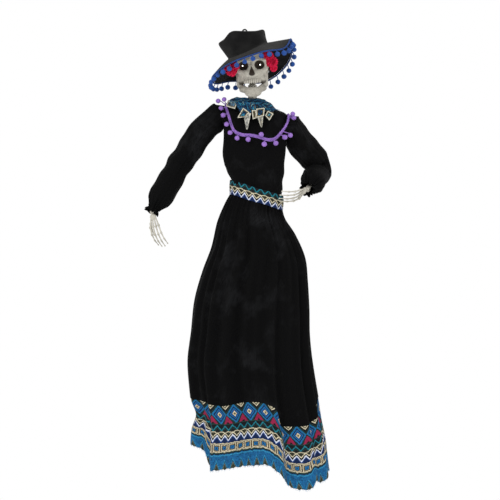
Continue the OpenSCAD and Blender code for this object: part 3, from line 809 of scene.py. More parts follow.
def upper_skull(g):
    f = built(g.ball((0, 4, 2), (33.5, 40, 33)), [
        (g.ball((0, -17, 5), (28.5, 24, 24)), 9),
        (g.ball((0, -24, -20), (24, 14, 20)), 8),
        (g.bone((6, -39, -1.5), (25, -30, -3), 4.4, 3.6, True), 6),
        (g.bone((12, -36, -25), (28.5, -25, -20), 5.4, 4.2, True), 6),
        (g.bone((27, -26, -19), (31.5, -4, -16), 3.6, 2.8, True), 4),
        (g.bone((27.5, -30, -3), (28.5, -27, -19), 3.4, 3.6, True), 4),
        (g.bone((0, -39, -4), (0, -44.5, -14), 3.4, 2.6), 4),
        (g.ball((0, -30, -32), (17.5, 13, 12)), 6),
        (g.ball((0, -29, -38), (17, 15, 6)), 3),
        (g.ball((20.5, -19, -35), (9.6, 13.5, 13.4), True), 4),
        (g.bone((25, 2, -24), (25, 4, -33), 5, 3.5, True), 5)])
    # temples, cheeks, palate and eye sockets
    f = cut_soft(f, g.ball((36.5, -21, -6), (6.5, 13, 13), True), 5)
    f = cut_soft(f, g.ball((25.5, -38, -36), (6.0, 9, 7), True), 5)
    f = cut_soft(f, g.ball((0, -17, -50), (13, 17, 11)), 3)
    f = cut_soft(f, g.ball((16.2, -43.5, -11), (10.4, 16.5, 9.2), True), 2.2)
    lobe = g.bone((0.9, -46, -17.5), (3.5, -46, -27.5), 1.5, 2.7, True)
    deep = g.bone((0.9, -36, -17.5), (3.5, -36, -27.5), 1.3, 2.5, True)
    f = cut_soft(f, join_soft(lobe, deep, 6), 1.4)
    return teeth(g, f, (7, 21, 36, 51, 66), (17, -29, -42.6), 16, (2.25, 2.5, 4.9))


def skull_dirt_and_shade(p):
    """How dark each point is: dark paint in the sockets and nose, cheek smudges, and painted shade in the
    hollows, between the teeth and under the skull.
    """
    x, y, z = np.abs(p[:, 0]), p[:, 1], p[:, 2]
    front = smoothstep(-18, -26, y)
    socket = np.sqrt(((x - 16.2) / 10.6) ** 2 + ((z + 11) / 9.4) ** 2)
    dark = (1 - smoothstep(0.82, 1.08, socket)) * front
    rim = (1 - smoothstep(0.95, 1.3, socket)) * 0.16 * front
    nose = np.sqrt((x / (2.2 + 0.36 * np.clip(-z - 16, 0, 13))) ** 2 + ((z + 23.0) / 9.6) ** 4)
    dark = np.maximum(dark, (1 - smoothstep(0.75, 1.1, nose)) * front)
    cheek = np.sqrt(((x - 24) / 6.5) ** 2 + ((z + 33) / 8) ** 2)
    dark = np.maximum(dark, (1 - smoothstep(0.0, 1.1, cheek)) * 0.32 * front)
    # darker towards the bottom of the skull
    dark = np.maximum(dark, 0.20 * smoothstep(-26, -36, z))
    # painted shade in the temple hollows
    temple = np.sqrt(((x - 33) / 8) ** 2 + ((z + 5) / 12) ** 2 + ((y + 21) / 14) ** 2)
    dark = np.maximum(dark, (1 - smoothstep(0.5, 1.3, temple)) * 0.32)
    # painted shade in the gaps between the teeth
    gaps = tooth_gaps(x, (0, 14, 28.5, 43.5, 58.5), 17)
    dark = np.maximum(dark, gaps * smoothstep(-38, -41.5, z) * 0.5 * front)
    # painted shade under the skull, towards the back
    under = smoothstep(-38, -46, z) * smoothstep(-41, -30, y)
    return np.clip(np.maximum(np.maximum(dark, rim), under * 0.8), 0, 1)


def carve(g, f, name, dirt_and_shade, to_world):
    """Bone mesh from a field, with its dirt and painted shade marked on it."""
    verts, faces = g.mesh(f)
    verts = relax(verts, faces, 1)
    return new_object(name, to_world(verts), faces, BONE, {"dirt_and_shade": dirt_and_shade(verts)})


def jaw_hinge(g):
    """Hole through both sides for the jaw pins."""
    return np.sqrt((g.y + 2) ** 2 + (g.z + 24) ** 2) - 1.6


def jaw_dirt_and_shade(p):
    x, y, z = np.abs(p[:, 0]), p[:, 1], p[:, 2]
    # painted shade in the gaps between the teeth
    gaps = tooth_gaps(x, (0, 14.5, 29.5, 45), 15) * smoothstep(-61, -59, z) * 0.4
    # painted shade inside the jaw, behind the teeth
    inside = smoothstep(-33, -27, y - 0.35 * x) * smoothstep(-72, -62, z) * (x < 22)
    # painted shade on each side of the jaw, under the cheekbone
    side = (1 - smoothstep(0.3, 1.2, np.hypot((x - 25) / 5, (z + 41) / 8))) * 0.45
    # darker towards the bottom of the jaw
    dull = 0.27 * smoothstep(-46, -54, z)
    return np.clip(np.maximum(np.maximum(gaps, inside * 0.7), np.maximum(side, dull)), 0, 1)


def build_skull():
    g = Field((-37, -54, -60), (37, 47, 38), 0.8)
    f = upper_skull(g)
    inner = join_soft(g.ball((0, 4, 2), (31, 37.5, 30.5)), g.ball((0, -12, 4), (25.5, 20, 21)), 8)
    inner = np.maximum(inner, -(g.y + 21.5))
    f = cut_soft(f, inner, 1.0)
    neck = (NECK_AT - SKULL_AT) @ SKULL_TURN
    stem = np.sqrt((g.x - neck[0]) ** 2 + (g.y - neck[1]) ** 2)
    boss = np.maximum(stem - 10, np.maximum(-40.5 - g.z, g.z + 27))
    f = join_soft(f, boss, 1.5)
    f = np.maximum(f, -(stem - 5.15))
    top = -SKULL_AT @ SKULL_TURN
    f = np.maximum(f, -np.maximum(np.hypot(g.x - top[0], g.y - top[1]) - 2.8, 20 - g.z))
    f = np.maximum(f, -jaw_hinge(g))
    face = carve(g, np.maximum(f, g.y + 0.12), "skull_face_shell", skull_dirt_and_shade, skull_to_world)
    hatch = np.maximum(np.abs(g.x) - 16, np.maximum(np.abs(g.z + 9) - 13, 25 - g.y))
    knob = np.maximum(np.abs(g.x - 1) - 3.9, np.maximum(np.abs(g.z + 27) - 1.6, 17 - g.y))
    back = np.maximum(np.maximum(f, 0.12 - g.y), -np.minimum(hatch, knob))
    back = carve(g, back, "skull_back_shell", skull_dirt_and_shade, skull_to_world)
    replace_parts(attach(face, "head"), "skull_face")
    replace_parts(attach(back, "head"), "skull_back")


def build_jaw():
    g = Field((-38, -52, -84), (38, 12, -16), 0.75)
    f = built(g.bone((28.4, -3, -27), (26.5, -7, -49), 3.6, 4.2, True), [
        (g.ball((27.4, -7, -37), (3.0, 8.5, 13), True), 3),
        (g.bone((28.6, -2, -24), (28.6, -2, -24.1), 4.1, 4.1, True), 2),
        (g.bone((25, -8, -51), (11, -35, -64.5), 4.4, 5.4, True), 5),
        (g.bone((22.5, -14, -50), (10, -38.5, -59), 3.4, 3.6, True), 5),
        (g.ball((0, -37.5, -66.5), (15.0, 7.0, 8.2)), 5),
        (g.bone((-7, -38, -61), (7, -38, -61), 3.6), 4),
        (g.ball((19, -20, -58.0), (8.5, 13, 5.4), True), 4),
        (g.ball((0, -35, -61.5), (14, 7.5, 6.3)), 4)])
    f = teeth(g, f, (7, 22, 37, 53), (15, -26, -57.7), 15.5, (2.0, 2.2, 3.3))
    jaw = carve(g, np.maximum(f, -jaw_hinge(g)), "jaw_bone", jaw_dirt_and_shade, skull_to_world)
    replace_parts(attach(jaw, "jaw"), "jaw")


def arm_frames(side):
    """Pivots and directions of one arm at rest."""
    swing, lift, elbow_turn, elbow_bend, wrist_turn, wrist_bend = POSE[side]
    sign = -1 if side == "right" else 1
    chest = rot("y", TORSO_ROLL)
    shoulder = TORSO_AT + chest @ np.array([sign * SHOULDER_X, 0, SHOULDER_Z])
    yoke = chest @ rot("x", swing)
    upper = yoke @ rot("y", lift)
    elbow = shoulder + UPPER_ARM_L * (upper @ DOWN)
    fore = upper @ rot("z", elbow_turn) @ rot("x", -elbow_bend)
    wrist = elbow + FOREARM_L * (fore @ DOWN)
    hand = fore @ rot("z", wrist_turn) @ rot("x", -wrist_bend)
    return {"shoulder": shoulder, "elbow": elbow, "wrist": wrist, "hand": hand, "chest": chest,
            "up_dir": upper @ DOWN, "fore_dir": fore @ DOWN, "sign": sign}


ARM = {side: arm_frames(side) for side in POSE}


def finger(g, f, points, radii):
    """Chain of phalanges with swollen ends."""
    for k in range(len(points) - 1):
        a, b = np.array(points[k], float), np.array(points[k + 1], float)
        mid = 0.5 * (a + b)
        ra, rb = radii[k], radii[k + 1]
        f = join_soft(f, g.bone(a, mid, ra * 0.95, ra * 0.70), 0.5)
        f = join_soft(f, g.bone(mid, b, rb * 0.74, rb * 0.9), 0.5)
        f = join_soft(f, g.bone(b, b + 0.1, rb * 1.25, rb * 1.25), 0.6)
    return f


def build_hand(side):
    curl = FINGER_CURL
    thumb = -ARM[side]["sign"]
    g = Field((-17, -19, -76), (17, 6, 5), 0.5)
    f = g.ball((0, 0, -9), (6.5, 2.9, 4.2))
    for i in range(4):
        f = join_soft(f, g.ball((-4.8 + 3.2 * i, 0.3 * (-1) ** i, -10.5), (2.2, 2.4, 2.4)), 0.8)
    knuckle = (-9.5, -3.2, 3.2, 9.5)
    reach = (0.92, 1.0, 0.97, 0.85)
    for x, r in zip(knuckle, reach):
        root = (x * 0.5, 0, -12)
        chain = [
            root, (x, 2.6 * curl, -31), (x * 1.1, 0.6 * curl, -32 - 16 * r),
            (x * 1.12, -6 * curl, -32 - 29 * r), (x * 1.1, -15.5 * curl, -32 - 39 * r)]
        f = finger(g, f, chain, (2.0, 2.1, 1.85, 1.55, 1.15))
    f = finger(g, f, [
        (thumb * 5, -1, -12), (thumb * 11, -5, -22), (thumb * 14, -9 * curl, -33),
        (thumb * 14, -14 * curl, -43)], (2.0, 2.0, 1.75, 1.25))
    turned = rot("z", HAND_TURN[side])
    pin = turned.T @ np.array([1.0, 0, 0])
    bar = (g.x * pin[0] + g.y * pin[1])
    off = np.sqrt(np.maximum(g.x**2 + g.y**2 + g.z**2 - bar**2, 0))
    lug = np.maximum(off - 3.6, np.abs(bar) - 2)
    square = g.x * pin[1] - g.y * pin[0]
    neck = np.maximum(np.maximum(np.abs(bar) - 2, np.abs(square) - 3), np.maximum(g.z, -9 - g.z))
    f = join_soft(f, np.minimum(lug, neck), 0.6)
    f = np.maximum(f, -(off - 1.05))

    def to_world(p):
        return p @ (ARM[side]["hand"] @ turned).T + ARM[side]["wrist"]

    def dirt_and_shade(p):
        # dark finger joints, and painted shade between the fingers near the palm
        joint = np.zeros(len(p))
        for x, r in zip(knuckle, reach):
            for z in (-33, -32 - 16 * r, -32 - 29 * r):
                away = np.abs(p[:, 2] - z) + 0.5 * np.abs(p[:, 0] - x)
                joint = np.maximum(joint, 1 - smoothstep(1.5, 4.5, away))
        between = smoothstep(0.5, 1.5, np.abs(np.sin(p[:, 0] * 0.5)))
        between = between * smoothstep(-30, -14, p[:, 2])
        return np.clip(0.16 * joint + 0.2 * between, 0, 1)

    obj = carve(g, f, side + "_hand_bones", dirt_and_shade, to_world)
    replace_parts(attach(obj, side + "_hand_body"), side + "_hand")


# ---------- Hat ----------

HAT_UP = np.array([
    -math.sin(math.radians(HAT_ROLL)) * math.cos(math.radians(HAT_TIP)),
    math.sin(math.radians(HAT_TIP)),
    math.cos(math.radians(HAT_ROLL)) * math.cos(math.radians(HAT_TIP))])
HAT_AT = HAT_TOP_AT - CROWN_H * HAT_UP
HAT_TURN = rot("y", -HAT_ROLL) @ rot("x", -HAT_TIP)


def hat_to_world(p):
    return p @ HAT_TURN.T + HAT_AT


def clear_of_skull(points):
    """Eases the felt outward where the back of the head would come through it."""
    middle = np.array([0.0, 4.0, 2.0])
    p = (points - SKULL_AT) @ SKULL_TURN - middle
    k = np.linalg.norm(p / np.array([36.6, 43.2, 36.0]), axis=-1, keepdims=True)
    eased = (k + (1.12 - k) ** 2 / 0.48).clip(1.0) / k
    return skull_to_world(middle + p * np.where(k < 1.12, eased, 1.0))


def near_angle(a, degrees, spread):
    off = (np.degrees(a) - degrees + 180) % 360 - 180
    return np.exp(-((off / spread) ** 2))


def front_dip(a):
    """How far the hat sits down over the forehead."""
    return 14.0 * near_angle(a, -100, 55)


def brim_z(r, a):
    s = (r - CROWN_BASE_R) / (BRIM_R - CROWN_BASE_R)
    droop = -(BRIM_DROP + np.sin(a) ** 2 * (13 + 5 * np.sin(a)))
    for lift, at, spread in (
            (15, 125, 27), (14, 4, 22), (6, -12, 16), (-3, 180, 30), (-7, -44, 20)):
        droop = droop + lift * near_angle(a, at, spread)
    return droop * np.maximum(s, 0) ** 1.15 - front_dip(a) * np.clip(1 - s, 0, 1) ** 1.3


def brim_edge(a, outward, lift):
    r = BRIM_R + outward
    return oval(a, r, r, brim_z(r, a) + lift)


HAT_WAVE = ripples(11, (3, 5, 8), (0.7, 0.5, 0.25))


def build_crown():
    a = angles(288)
    slump = ripples(5, (2, 3, 5, 7), (1.0, 0.8, 0.5, 0.3))
    dents = ripples(8, (3, 4, 6), (0.8, 0.7, 0.4))
    top, rim, base = CROWN_H, CROWN_TOP_R, CROWN_BASE_R
    profile = [
        (0, top - 3.4), (12, top - 3.2), (24, top - 2.7), (34, top - 1.9), (40, top - 1.0),
        (rim - 1.6, top - 0.4), (rim - 0.3, top - 1.3), (rim, top - 3.2), (rim - 0.6, top - 8),
        (rim - 1.5, 17), (rim - 2.3, 9), (base - 0.3, 4), (base, 1.6), (base + 1.4, -0.3)]
    sink = 6.0 * near_angle(a, -50, 36) - 7.5 * near_angle(a, -114, 22) + 1.5 * near_angle(a, 60, 60)
    sink = sink - 6.5 * near_angle(a, 175, 34)
    rows = []
    for r, _, z in curve([(r, 0, z) for r, z in profile], 110):
        high = smoothstep(0, CROWN_H, z)
        flat = smoothstep(30, 44, r)
        share = min(max(z / CROWN_H, 0), 1)
        bulge = slump(a) * 0.9 * high + dents(a, 2.0) * np.sin(math.pi * share)
        radius = r + flat * bulge + 4.5 * near_angle(a, 178, 38) * high * flat
        height = z + (1 - flat * 0.4) * dents(a, 4.0) * 0.5 * (r / CROWN_TOP_R) * high
        height = height - sink * high**2 * smoothstep(8, 40, r)
        height = height - front_dip(a) * min(max(1 - z / CROWN_H, 0), 1) ** 1.2
        rows.append(oval(a, radius, radius, height))
    points = clear_of_skull(hat_to_world(np.array(rows)))
    crown = sheet_object("hat_crown_felt", points, FELT, wrap=True, thickness=1.8)
    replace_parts(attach(crown, "head"), "hat_crown")


def build_brim():
    a = angles(288)
    inner = CROWN_BASE_R + 0.4
    rows = []
    for s in np.linspace(0, 1, 60):
        r = inner + (BRIM_R - CROWN_BASE_R - 0.4) * s
        rows.append(oval(a, r, r, brim_z(r, a) + HAT_WAVE(a) * s * 1.2 - 0.6))
    points = clear_of_skull(hat_to_world(np.array(rows)))
    brim = sheet_object("hat_brim_felt", points, FELT, wrap=True, thickness=2.0)
    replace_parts(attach(brim, "head"), "hat_brim")

    a = angles(200)
    seam = oval(a, CROWN_BASE_R + 0.9, CROWN_BASE_R + 0.9, 0.9 - front_dip(a))
    stitch = loop_tube("hat_seam", clear_of_skull(hat_to_world(seam)), 0.7, FELT, HAT_UP)
    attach(stitch, "head")


def build_brim_trim():
    """The blue cord, two twisted strands, with a pompom hung every 17 mm or so."""
    a = angles(900)
    centre = brim_edge(a, 1.5, -0.8)
    centre[:, 2] += HAT_WAVE(a) * 1.2
    centre = hat_to_world(centre)
    tangent = unit(np.roll(centre, -1, 0) - np.roll(centre, 1, 0))
    side = unit(np.cross(tangent, HAT_UP))
    up = np.cross(side, tangent)
    strands = []
    for phase in (0, math.pi):
        twist = (a * 95 + phase)[:, None]
        path = centre + 0.75 * (np.cos(twist) * side + np.sin(twist) * up)
        strands.append(loop_tube("strand", path, 1.05, BLUE_CORD, HAT_UP))
    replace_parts(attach(joined("brim_cord_yarn", strands), "head"), "brim_cord")

    count = 33
    a = angles(count)
    edge = hat_to_world(brim_edge(a, 2.3, -2.0))
    out = edge - HAT_AT
    out[:, 2] = 0
    ball = hat_to_world(brim_edge(a, 2.3, -2.4)) + 3 * unit(out)
    ball[:, 2] -= 6.0 + 2.6 * (1 + np.sin(a)) + np.random.default_rng(9).uniform(-0.8, 0.8, count)
    poms = pompoms("brim_pompoms_yarn", ball, edge, BLUE_YARN, 21)
    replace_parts(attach(poms, "head"), "brim_pompoms")


# ---------- Pompoms ----------


def unit_ball(detail):
    bm = bmesh.new()
    bmesh.ops.create_icosphere(bm, subdivisions=detail, radius=1)
    verts = np.array([v.co for v in bm.verts])
    faces = np.array([[v.index for v in f.verts] for f in bm.faces])
    bm.free()
    return verts, faces


def pompoms(name, balls, roots, material, seed):
    """Fluffy balls, each hung on a thread from its root on the cord."""
    rng = np.random.default_rng(seed)
    verts, faces = unit_ball(4)
    quads = grid_faces(9, 8, True)
    thread = np.concatenate([quads[:, [0, 1, 2]], quads[:, [0, 2, 3]]])
    parts = []
    for ball, root in zip(balls, roots):
        fluff = rng.uniform(-1, 1, len(verts))
        lumps = sum(
            np.cos(verts @ unit(rng.normal(size=3)) * k + rng.uniform(0, TAU)) for k in (3, 5, 9)) / 3
        radius = POMPOM_R * rng.uniform(0.93, 1.05) * (1 + 0.045 * lumps + 0.05 * fluff)
        parts.append((ball + verts * radius[:, None] * np.array([1, 1, 0.97]), faces))
        hang = ball + np.array([0, 0, POMPOM_R * 0.6])
        path = curve([root, 0.5 * (root + hang) + rng.uniform(-0.4, 0.4, 3), hang], 9)
        parts.append((tube_points(path, 0.85, 8, hint=(0.3, 1, 0.2)).reshape(-1, 3), thread))
    return new_object(name, *merged(parts), material)


# ---------- Roses ----------


PETAL_ROWS, PETAL_COLS = 11, 17
PETAL_RINGS = (
    # how far a ring reaches, its petals, how steep they stand
    (0.20, 4, 80), (0.38, 5, 66), (0.58, 6, 50), (0.80, 7, 32), (1.0, 8, 14))
BUNCHES = {
    # middle, the way it faces, and size of each rose
    "right": [((-26, -41, -78), (-0.35, -1, 0.05), 12.5), ((-35, -37, -73), (-0.8, -0.8, 0.2), 9.0),
              ((-18, -41, -70), (0.15, -1, 0.35), 8.5), ((-25, -42, -84), (-0.2, -1, -0.5), 7.5)],
    "left": [((47, -35, -50), (0.35, -1, 0.15), 11.0), ((55, -33, -62), (0.5, -1, -0.15), 11.5),
             ((44, -34, -63), (0.1, -1, -0.2), 8.5), ((58, -32, -74), (0.5, -0.9, -0.5), 8.0)],
}


def rose_petals(at, facing, size, seed):
    """A ruffled cloth rose: rings of cupped petals round a tight bud, each with its painted shade and
    light: darker at the base and in the bud, lighter on the crests.
    """
    rng = np.random.default_rng(seed)
    facing = unit(facing)
    right = unit(np.cross(facing, (0.1, 0.2, 1.0)))
    axes = np.stack([right, np.cross(right, facing), facing], 1)
    s, t = np.meshgrid(
        np.linspace(0, 1, PETAL_ROWS), np.linspace(-1, 1, PETAL_COLS), indexing="ij")
    for level, (reach, count, tilt) in enumerate(PETAL_RINGS):
        for k in range(count):
            turn = TAU * (k + 0.5 * (level % 2)) / count + rng.uniform(-0.15, 0.15)
            lean = math.radians(tilt + rng.uniform(-7, 7))
            length = size * (0.35 + 0.65 * reach) * rng.uniform(0.92, 1.08)
            spread = size * (0.26 + 0.40 * reach) * rng.uniform(0.9, 1.1)
            y = spread * np.sin(math.pi * np.clip(0.08 + 0.62 * s, 0, 0.72)) ** 0.8 * t
            along = length * s * (1 - 0.16 * t**2)
            crest = s**1.5 * np.sin(t * rng.uniform(8, 12) + rng.uniform(0, TAU))
            curl = 0.22 * size * s**2 * (0.6 + 0.5 * t**2)
            cup = 0.28 * size * (t**2) * (1 - 0.4 * s) * (1.3 - reach)
            x = along * math.cos(lean) + curl * math.sin(lean) * 0.6
            z = along * math.sin(lean) * 0.62 - curl * math.cos(lean) + 0.16 * size * crest + cup
            z = z + size * 0.12 * (5 - level) * 0.35
            across = x * math.cos(turn) - y * math.sin(turn)
            upward = x * math.sin(turn) + y * math.cos(turn)
            p = np.stack([across, upward, z], -1).reshape(-1, 3) @ axes.T
            # painted shade and light: dark at the petal base and in the bud, lighter towards the tips and
            # on the crests
            petal_shading = 1.05 * s**1.6 * (0.65 + 0.35 * reach) + 0.25 * crest + rng.uniform(-0.05, 0.2)
            yield np.asarray(at) + p, petal_shading.ravel()


def build_roses():
    faces = grid_faces(PETAL_ROWS, PETAL_COLS, False)
    for side, roses in BUNCHES.items():
        petals = []
        for k, (at, facing, size) in enumerate(roses):
            petals.extend(rose_petals(at, facing, size, 40 + k + len(side)))
        petal_shadings = np.clip(np.concatenate([petal_shading for _, petal_shading in petals]), 0, 1)
        verts, quads = merged([(points, faces) for points, _ in petals])
        obj = new_object(side + "_roses", verts, quads, ROSE, {"depth": petal_shadings})
        thicken(obj, 0.5)
        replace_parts(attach(obj, "head"), side + "_flower")


# ---------- Dress ----------

BODY_ROWS = [
    # height, middle, half width, half depth
    (-341.8, 23, 49.5, 34.5), (-365, 20, 59, 40), (-400, 23, 76, 49), (-450, 26.5, 91, 57),
    (-500, 20, 103, 63), (-560, 13.5, 114, 68), (-620, 10.5, 119.5, 72), (-680, 10, 127, 77),
    (-757, 20, 131, 82), (-800, 27, 132, 85), (-845, 28, 136, 87), (-893, 31, 140, 88)]
SEAM_FRONT = [
    (-113, -731), (-89, -739), (-47, -747), (-7, -740), (27, -739), (49, -745), (63, -756),
    (71, -783), (95, -788), (128, -785), (144, -768), (153, -727)]
EDGE_FRONT = [
    (-109, -822), (-99, -829), (-88, -842), (-80, -866), (-67, -876), (-40, -873), (0, -866),
    (41, -863), (65, -878), (84, -899), (107, -912), (132, -913), (142, -897), (156, -899),
    (167, -876)]
SEAM_BACK = [(-113, -731), (-60, -737), (0, -742), (80, -738), (153, -727)]
EDGE_BACK = [(-109, -822), (-60, -862), (0, -872), (90, -868), (167, -876)]
WAIST_SLOPE = -0.31
WAIST_Z = -341.8
SEAM_Z = -757.0
SKIRT_DROP = WAIST_Z - SEAM_Z
HEM_DROP = 132.0


def body_section(z):
    """Middle, half width and half depth of the skirt at height z."""
    fine = curve(BODY_ROWS[::-1], 400).T
    return [np.interp(z, fine[0], row) for row in fine[1:]]


def height_line(points, x):
    """Height at x of a smooth line through points."""
    fine = curve(points, 400)
    return np.interp(x, fine[:, 0], fine[:, 1])


def around(front, back, angle, x):
    """Height of a seam or edge: one line at the front, another at the back."""
    w = smoothstep(-0.25, 0.25, np.sin(angle))
    return height_line(front, x) * (1 - w) + height_line(back, x) * w


FINE = ripples(31, (37, 44, 53, 61), (0.55, 0.6, 0.45, 0.3))
MIDDLE = ripples(34, (16, 19, 23, 29), (0.8, 0.7, 0.6, 0.4))
LARGE = ripples(36, (5, 7, 9, 12), (0.35, 0.75, 0.8, 0.5))


def folds(angle, depth):
    """How far the cloth stands in or out, depth 0 at the waist to 1 at the hem edge."""
    drift = 0.55 * depth
    gather = FINE(angle, drift) * (1.3 * np.exp(-depth * 5.0) + 0.16)
    fuller = 0.9 + 2.3 * smoothstep(0.0, 0.3, depth) - 1.3 * smoothstep(0.55, 1, depth)
    pleat = MIDDLE(angle, drift) * fuller
    big = LARGE(angle, drift)
    big = np.tanh(big * 1.2) * (7.2 * smoothstep(0.12, 1.0, depth) + 1.5 * smoothstep(0.85, 1, depth))
    return gather + pleat + big


def skirt_ring(angle, level, height, depth, inset):
    """One ring of the skirt: level picks its girth, height is where it hangs."""
    cx, hw, hd = body_section(np.full(len(angle), level))
    f = folds(angle, depth)
    # the hem steps down where the front right fold laps over the next one
    lap = np.exp(-((angle + 1.18) / 0.10) ** 2) * smoothstep(0.72, 0.86, depth) * 6.0
    grow = f - 4.5 * smoothstep(0.1, 0.9, depth) + lap - inset
    grow = grow + 6.0 * near_angle(angle, 2, 24) * smoothstep(0.82, 0.92, depth)
    grow = grow - 6.0 * near_angle(angle, 180, 26) * np.exp(-(((depth - 0.85) / 0.05) ** 2))
    return oval(angle, hw + grow, hd + grow, height, (cx, 0.0))


def arc_length(points):
    step = np.linalg.norm(np.roll(points, -1, 0) - points, axis=1)
    return np.concatenate([[0], np.cumsum(step)])


def down_uv(u, down):
    """The same distance down the cloth for every point of a row."""
    return np.broadcast_to(np.asarray(down, float)[:, None], u.shape)


def cloth_uv(points, down):
    """Millimetres round each row of a closed sheet, and down it."""
    u = np.array([arc_length(row) for row in points])
    return u, down_uv(u, down)


def pattern_uv(ring, rows, size, units):
    """Round the cloth in units of the print: a whole number of motifs, each about size long."""
    length = arc_length(ring)
    u = length / length[-1] * round(length[-1] / size) * units
    return np.repeat(u[None], rows, 0)


def cloth_angles(n):
    """Angles round the body that start at its front."""
    return (angles(n) + 1.5 * math.pi) % TAU - math.pi


def build_skirt():
    angle = cloth_angles(600)
    cos = np.cos(angle)
    waist = -339.0 + WAIST_SLOPE * 49.5 * cos
    seam = around(SEAM_FRONT, SEAM_BACK, angle, 20 + 132 * cos)
    ragged = 1.6 * np.abs(((angle / TAU * 58) % 1) * 2 - 1) + ripples(52, (90, 131), (0.5, 0.4))(angle)
    edge = around(EDGE_FRONT, EDGE_BACK, angle, 31 + 139 * cos) + ragged

    def rings(down, inset):
        """Rings at each share down: 0 at the waist, 1 at the seam of the hem band, 2 at its edge."""
        points = []
        for t in down:
            upper, lower = min(t, 1), max(t - 1, 0)
            fallen = upper * SKIRT_DROP + lower * HEM_DROP
            z = waist + upper * (seam - waist) + lower * (edge - seam)
            sag = 2.2 * np.sin(angle * 3 + t * 9)
            z = z + sag * smoothstep(0.1, 0.5, t) * (1 - smoothstep(0.8, 1.0, t))
            depth = np.full(len(angle), fallen / (SKIRT_DROP + HEM_DROP))
            points.append(skirt_ring(angle, WAIST_Z - fallen, z, depth, inset))
        return np.array(points)

    down = np.linspace(0, 1, 170)
    points = rings(down, 0.0)
    uv = cloth_uv(points, down * 420)
    skirt = sheet_object("skirt_gauze", points, GAUZE, True, uv, GAUZE_THICK)
    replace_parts(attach(skirt, "torso"), "skirt")

    down = np.linspace(0.985, 2.0, 76)
    points = rings(down, 0.9)
    u = pattern_uv(points[5], len(down), 34.5, PERIOD)
    uv = (u, down_uv(u, (down - 1) * HEM_DROP))
    hem = sheet_object("hem_print", points, COTTON, True, uv, 0.9)
    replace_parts(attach(hem, "torso"), "hem_band")
    fringe(points[-1])


def fringe(edge):
    """Loose threads along the cut edge of the hem."""
    rng = np.random.default_rng(77)
    faces = grid_faces(5, 4, True)
    threads = []
    for at in edge[::2]:
        root = at + rng.uniform(-0.5, 0.5, 3) * np.array([1, 1, 0])
        drop = rng.uniform(1.5, 4.0)
        path = curve([root + [0, 0, 1.0], root + [rng.uniform(-0.6, 0.6), 0, -drop * 0.5],
                      root + [rng.uniform(-1.4, 1.4), rng.uniform(-0.6, 0.6), -drop]], 5)
        ring = tube_points(path, np.linspace(0.30, 0.12, 5), 4, hint=(0.3, 1, 0.2))
        threads.append((ring.reshape(-1, 3), faces))
    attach(new_object("hem_threads", *merged(threads), THREAD), "torso")


def build_belt():
    angle = cloth_angles(360)
    depth = 28.5
    pucker = 0.35 * ripples(61, (31, 43, 57), (0.6, 0.5, 0.5))(angle)
    down = np.linspace(0, depth, 15)
    rows = []
    for d in down:
        share = d / depth
        swell = 0.9 * math.sin(share * math.pi) + pucker
        hw = 52.6 - 0.4 * share + swell
        hd = 36.6 + 0.9 * share + swell
        z = -313.0 - d + WAIST_SLOPE * hw * np.cos(angle) + 0.6 * np.sin(angle * 5 + d * 0.05)
        rows.append(oval(angle, hw, hd, z, (24 - 0.8 * share, 0.0)))
    points = np.array(rows)
    u = pattern_uv(points[7], len(down), 17.2, PERIOD / 2)
    uv = (u, down_uv(u, down * (31.5 / depth) + 42.2))
    belt = sheet_object("belt_print", points, COTTON, True, uv, 1.4)
    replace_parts(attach(belt, "torso"), "belt")


BODICE_ROWS = [
    # height with the shoulder slope taken out, middle, half width, half depth
    (-140, 25, 50, 12), (-150, 24.5, 61, 18), (-160, 23.5, 64.5, 23), (-180, 22, 64, 28),
    (-205, 20, 62.5, 33), (-240, 18.8, 62, 35), (-268, 18.8, 61, 34), (-290, 21, 55.5, 33),
    (-308, 24, 50.5, 33.5), (-335, 24, 49.5, 34)]


def chest_reach(g, side):
    """How far the hard chest stands out to the front (-1) or the back (1), over the x and z of a grid."""
    toward = Vector((0, -side, 0))
    reach = np.full((g.x.shape[0], g.x.shape[2]), -80.0)
    for name in ("torso_front", "torso_back"):
        node = frame["nodes"][name]
        place = node.matrix_world
        back = place.inverted()
        for i, x in enumerate(g.x[:, 0, 0]):
            for k, z in enumerate(g.z[0, 0, :]):
                start = back @ (Vector((float(x), 200.0 * side, float(z))) * MM)
                ok, at, _, _ = node.ray_cast(start, back.to_3x3() @ toward)
                if ok:
                    reach[i, k] = max(reach[i, k], (place @ at)[1] / MM * side)
    return reach[:, None, :]


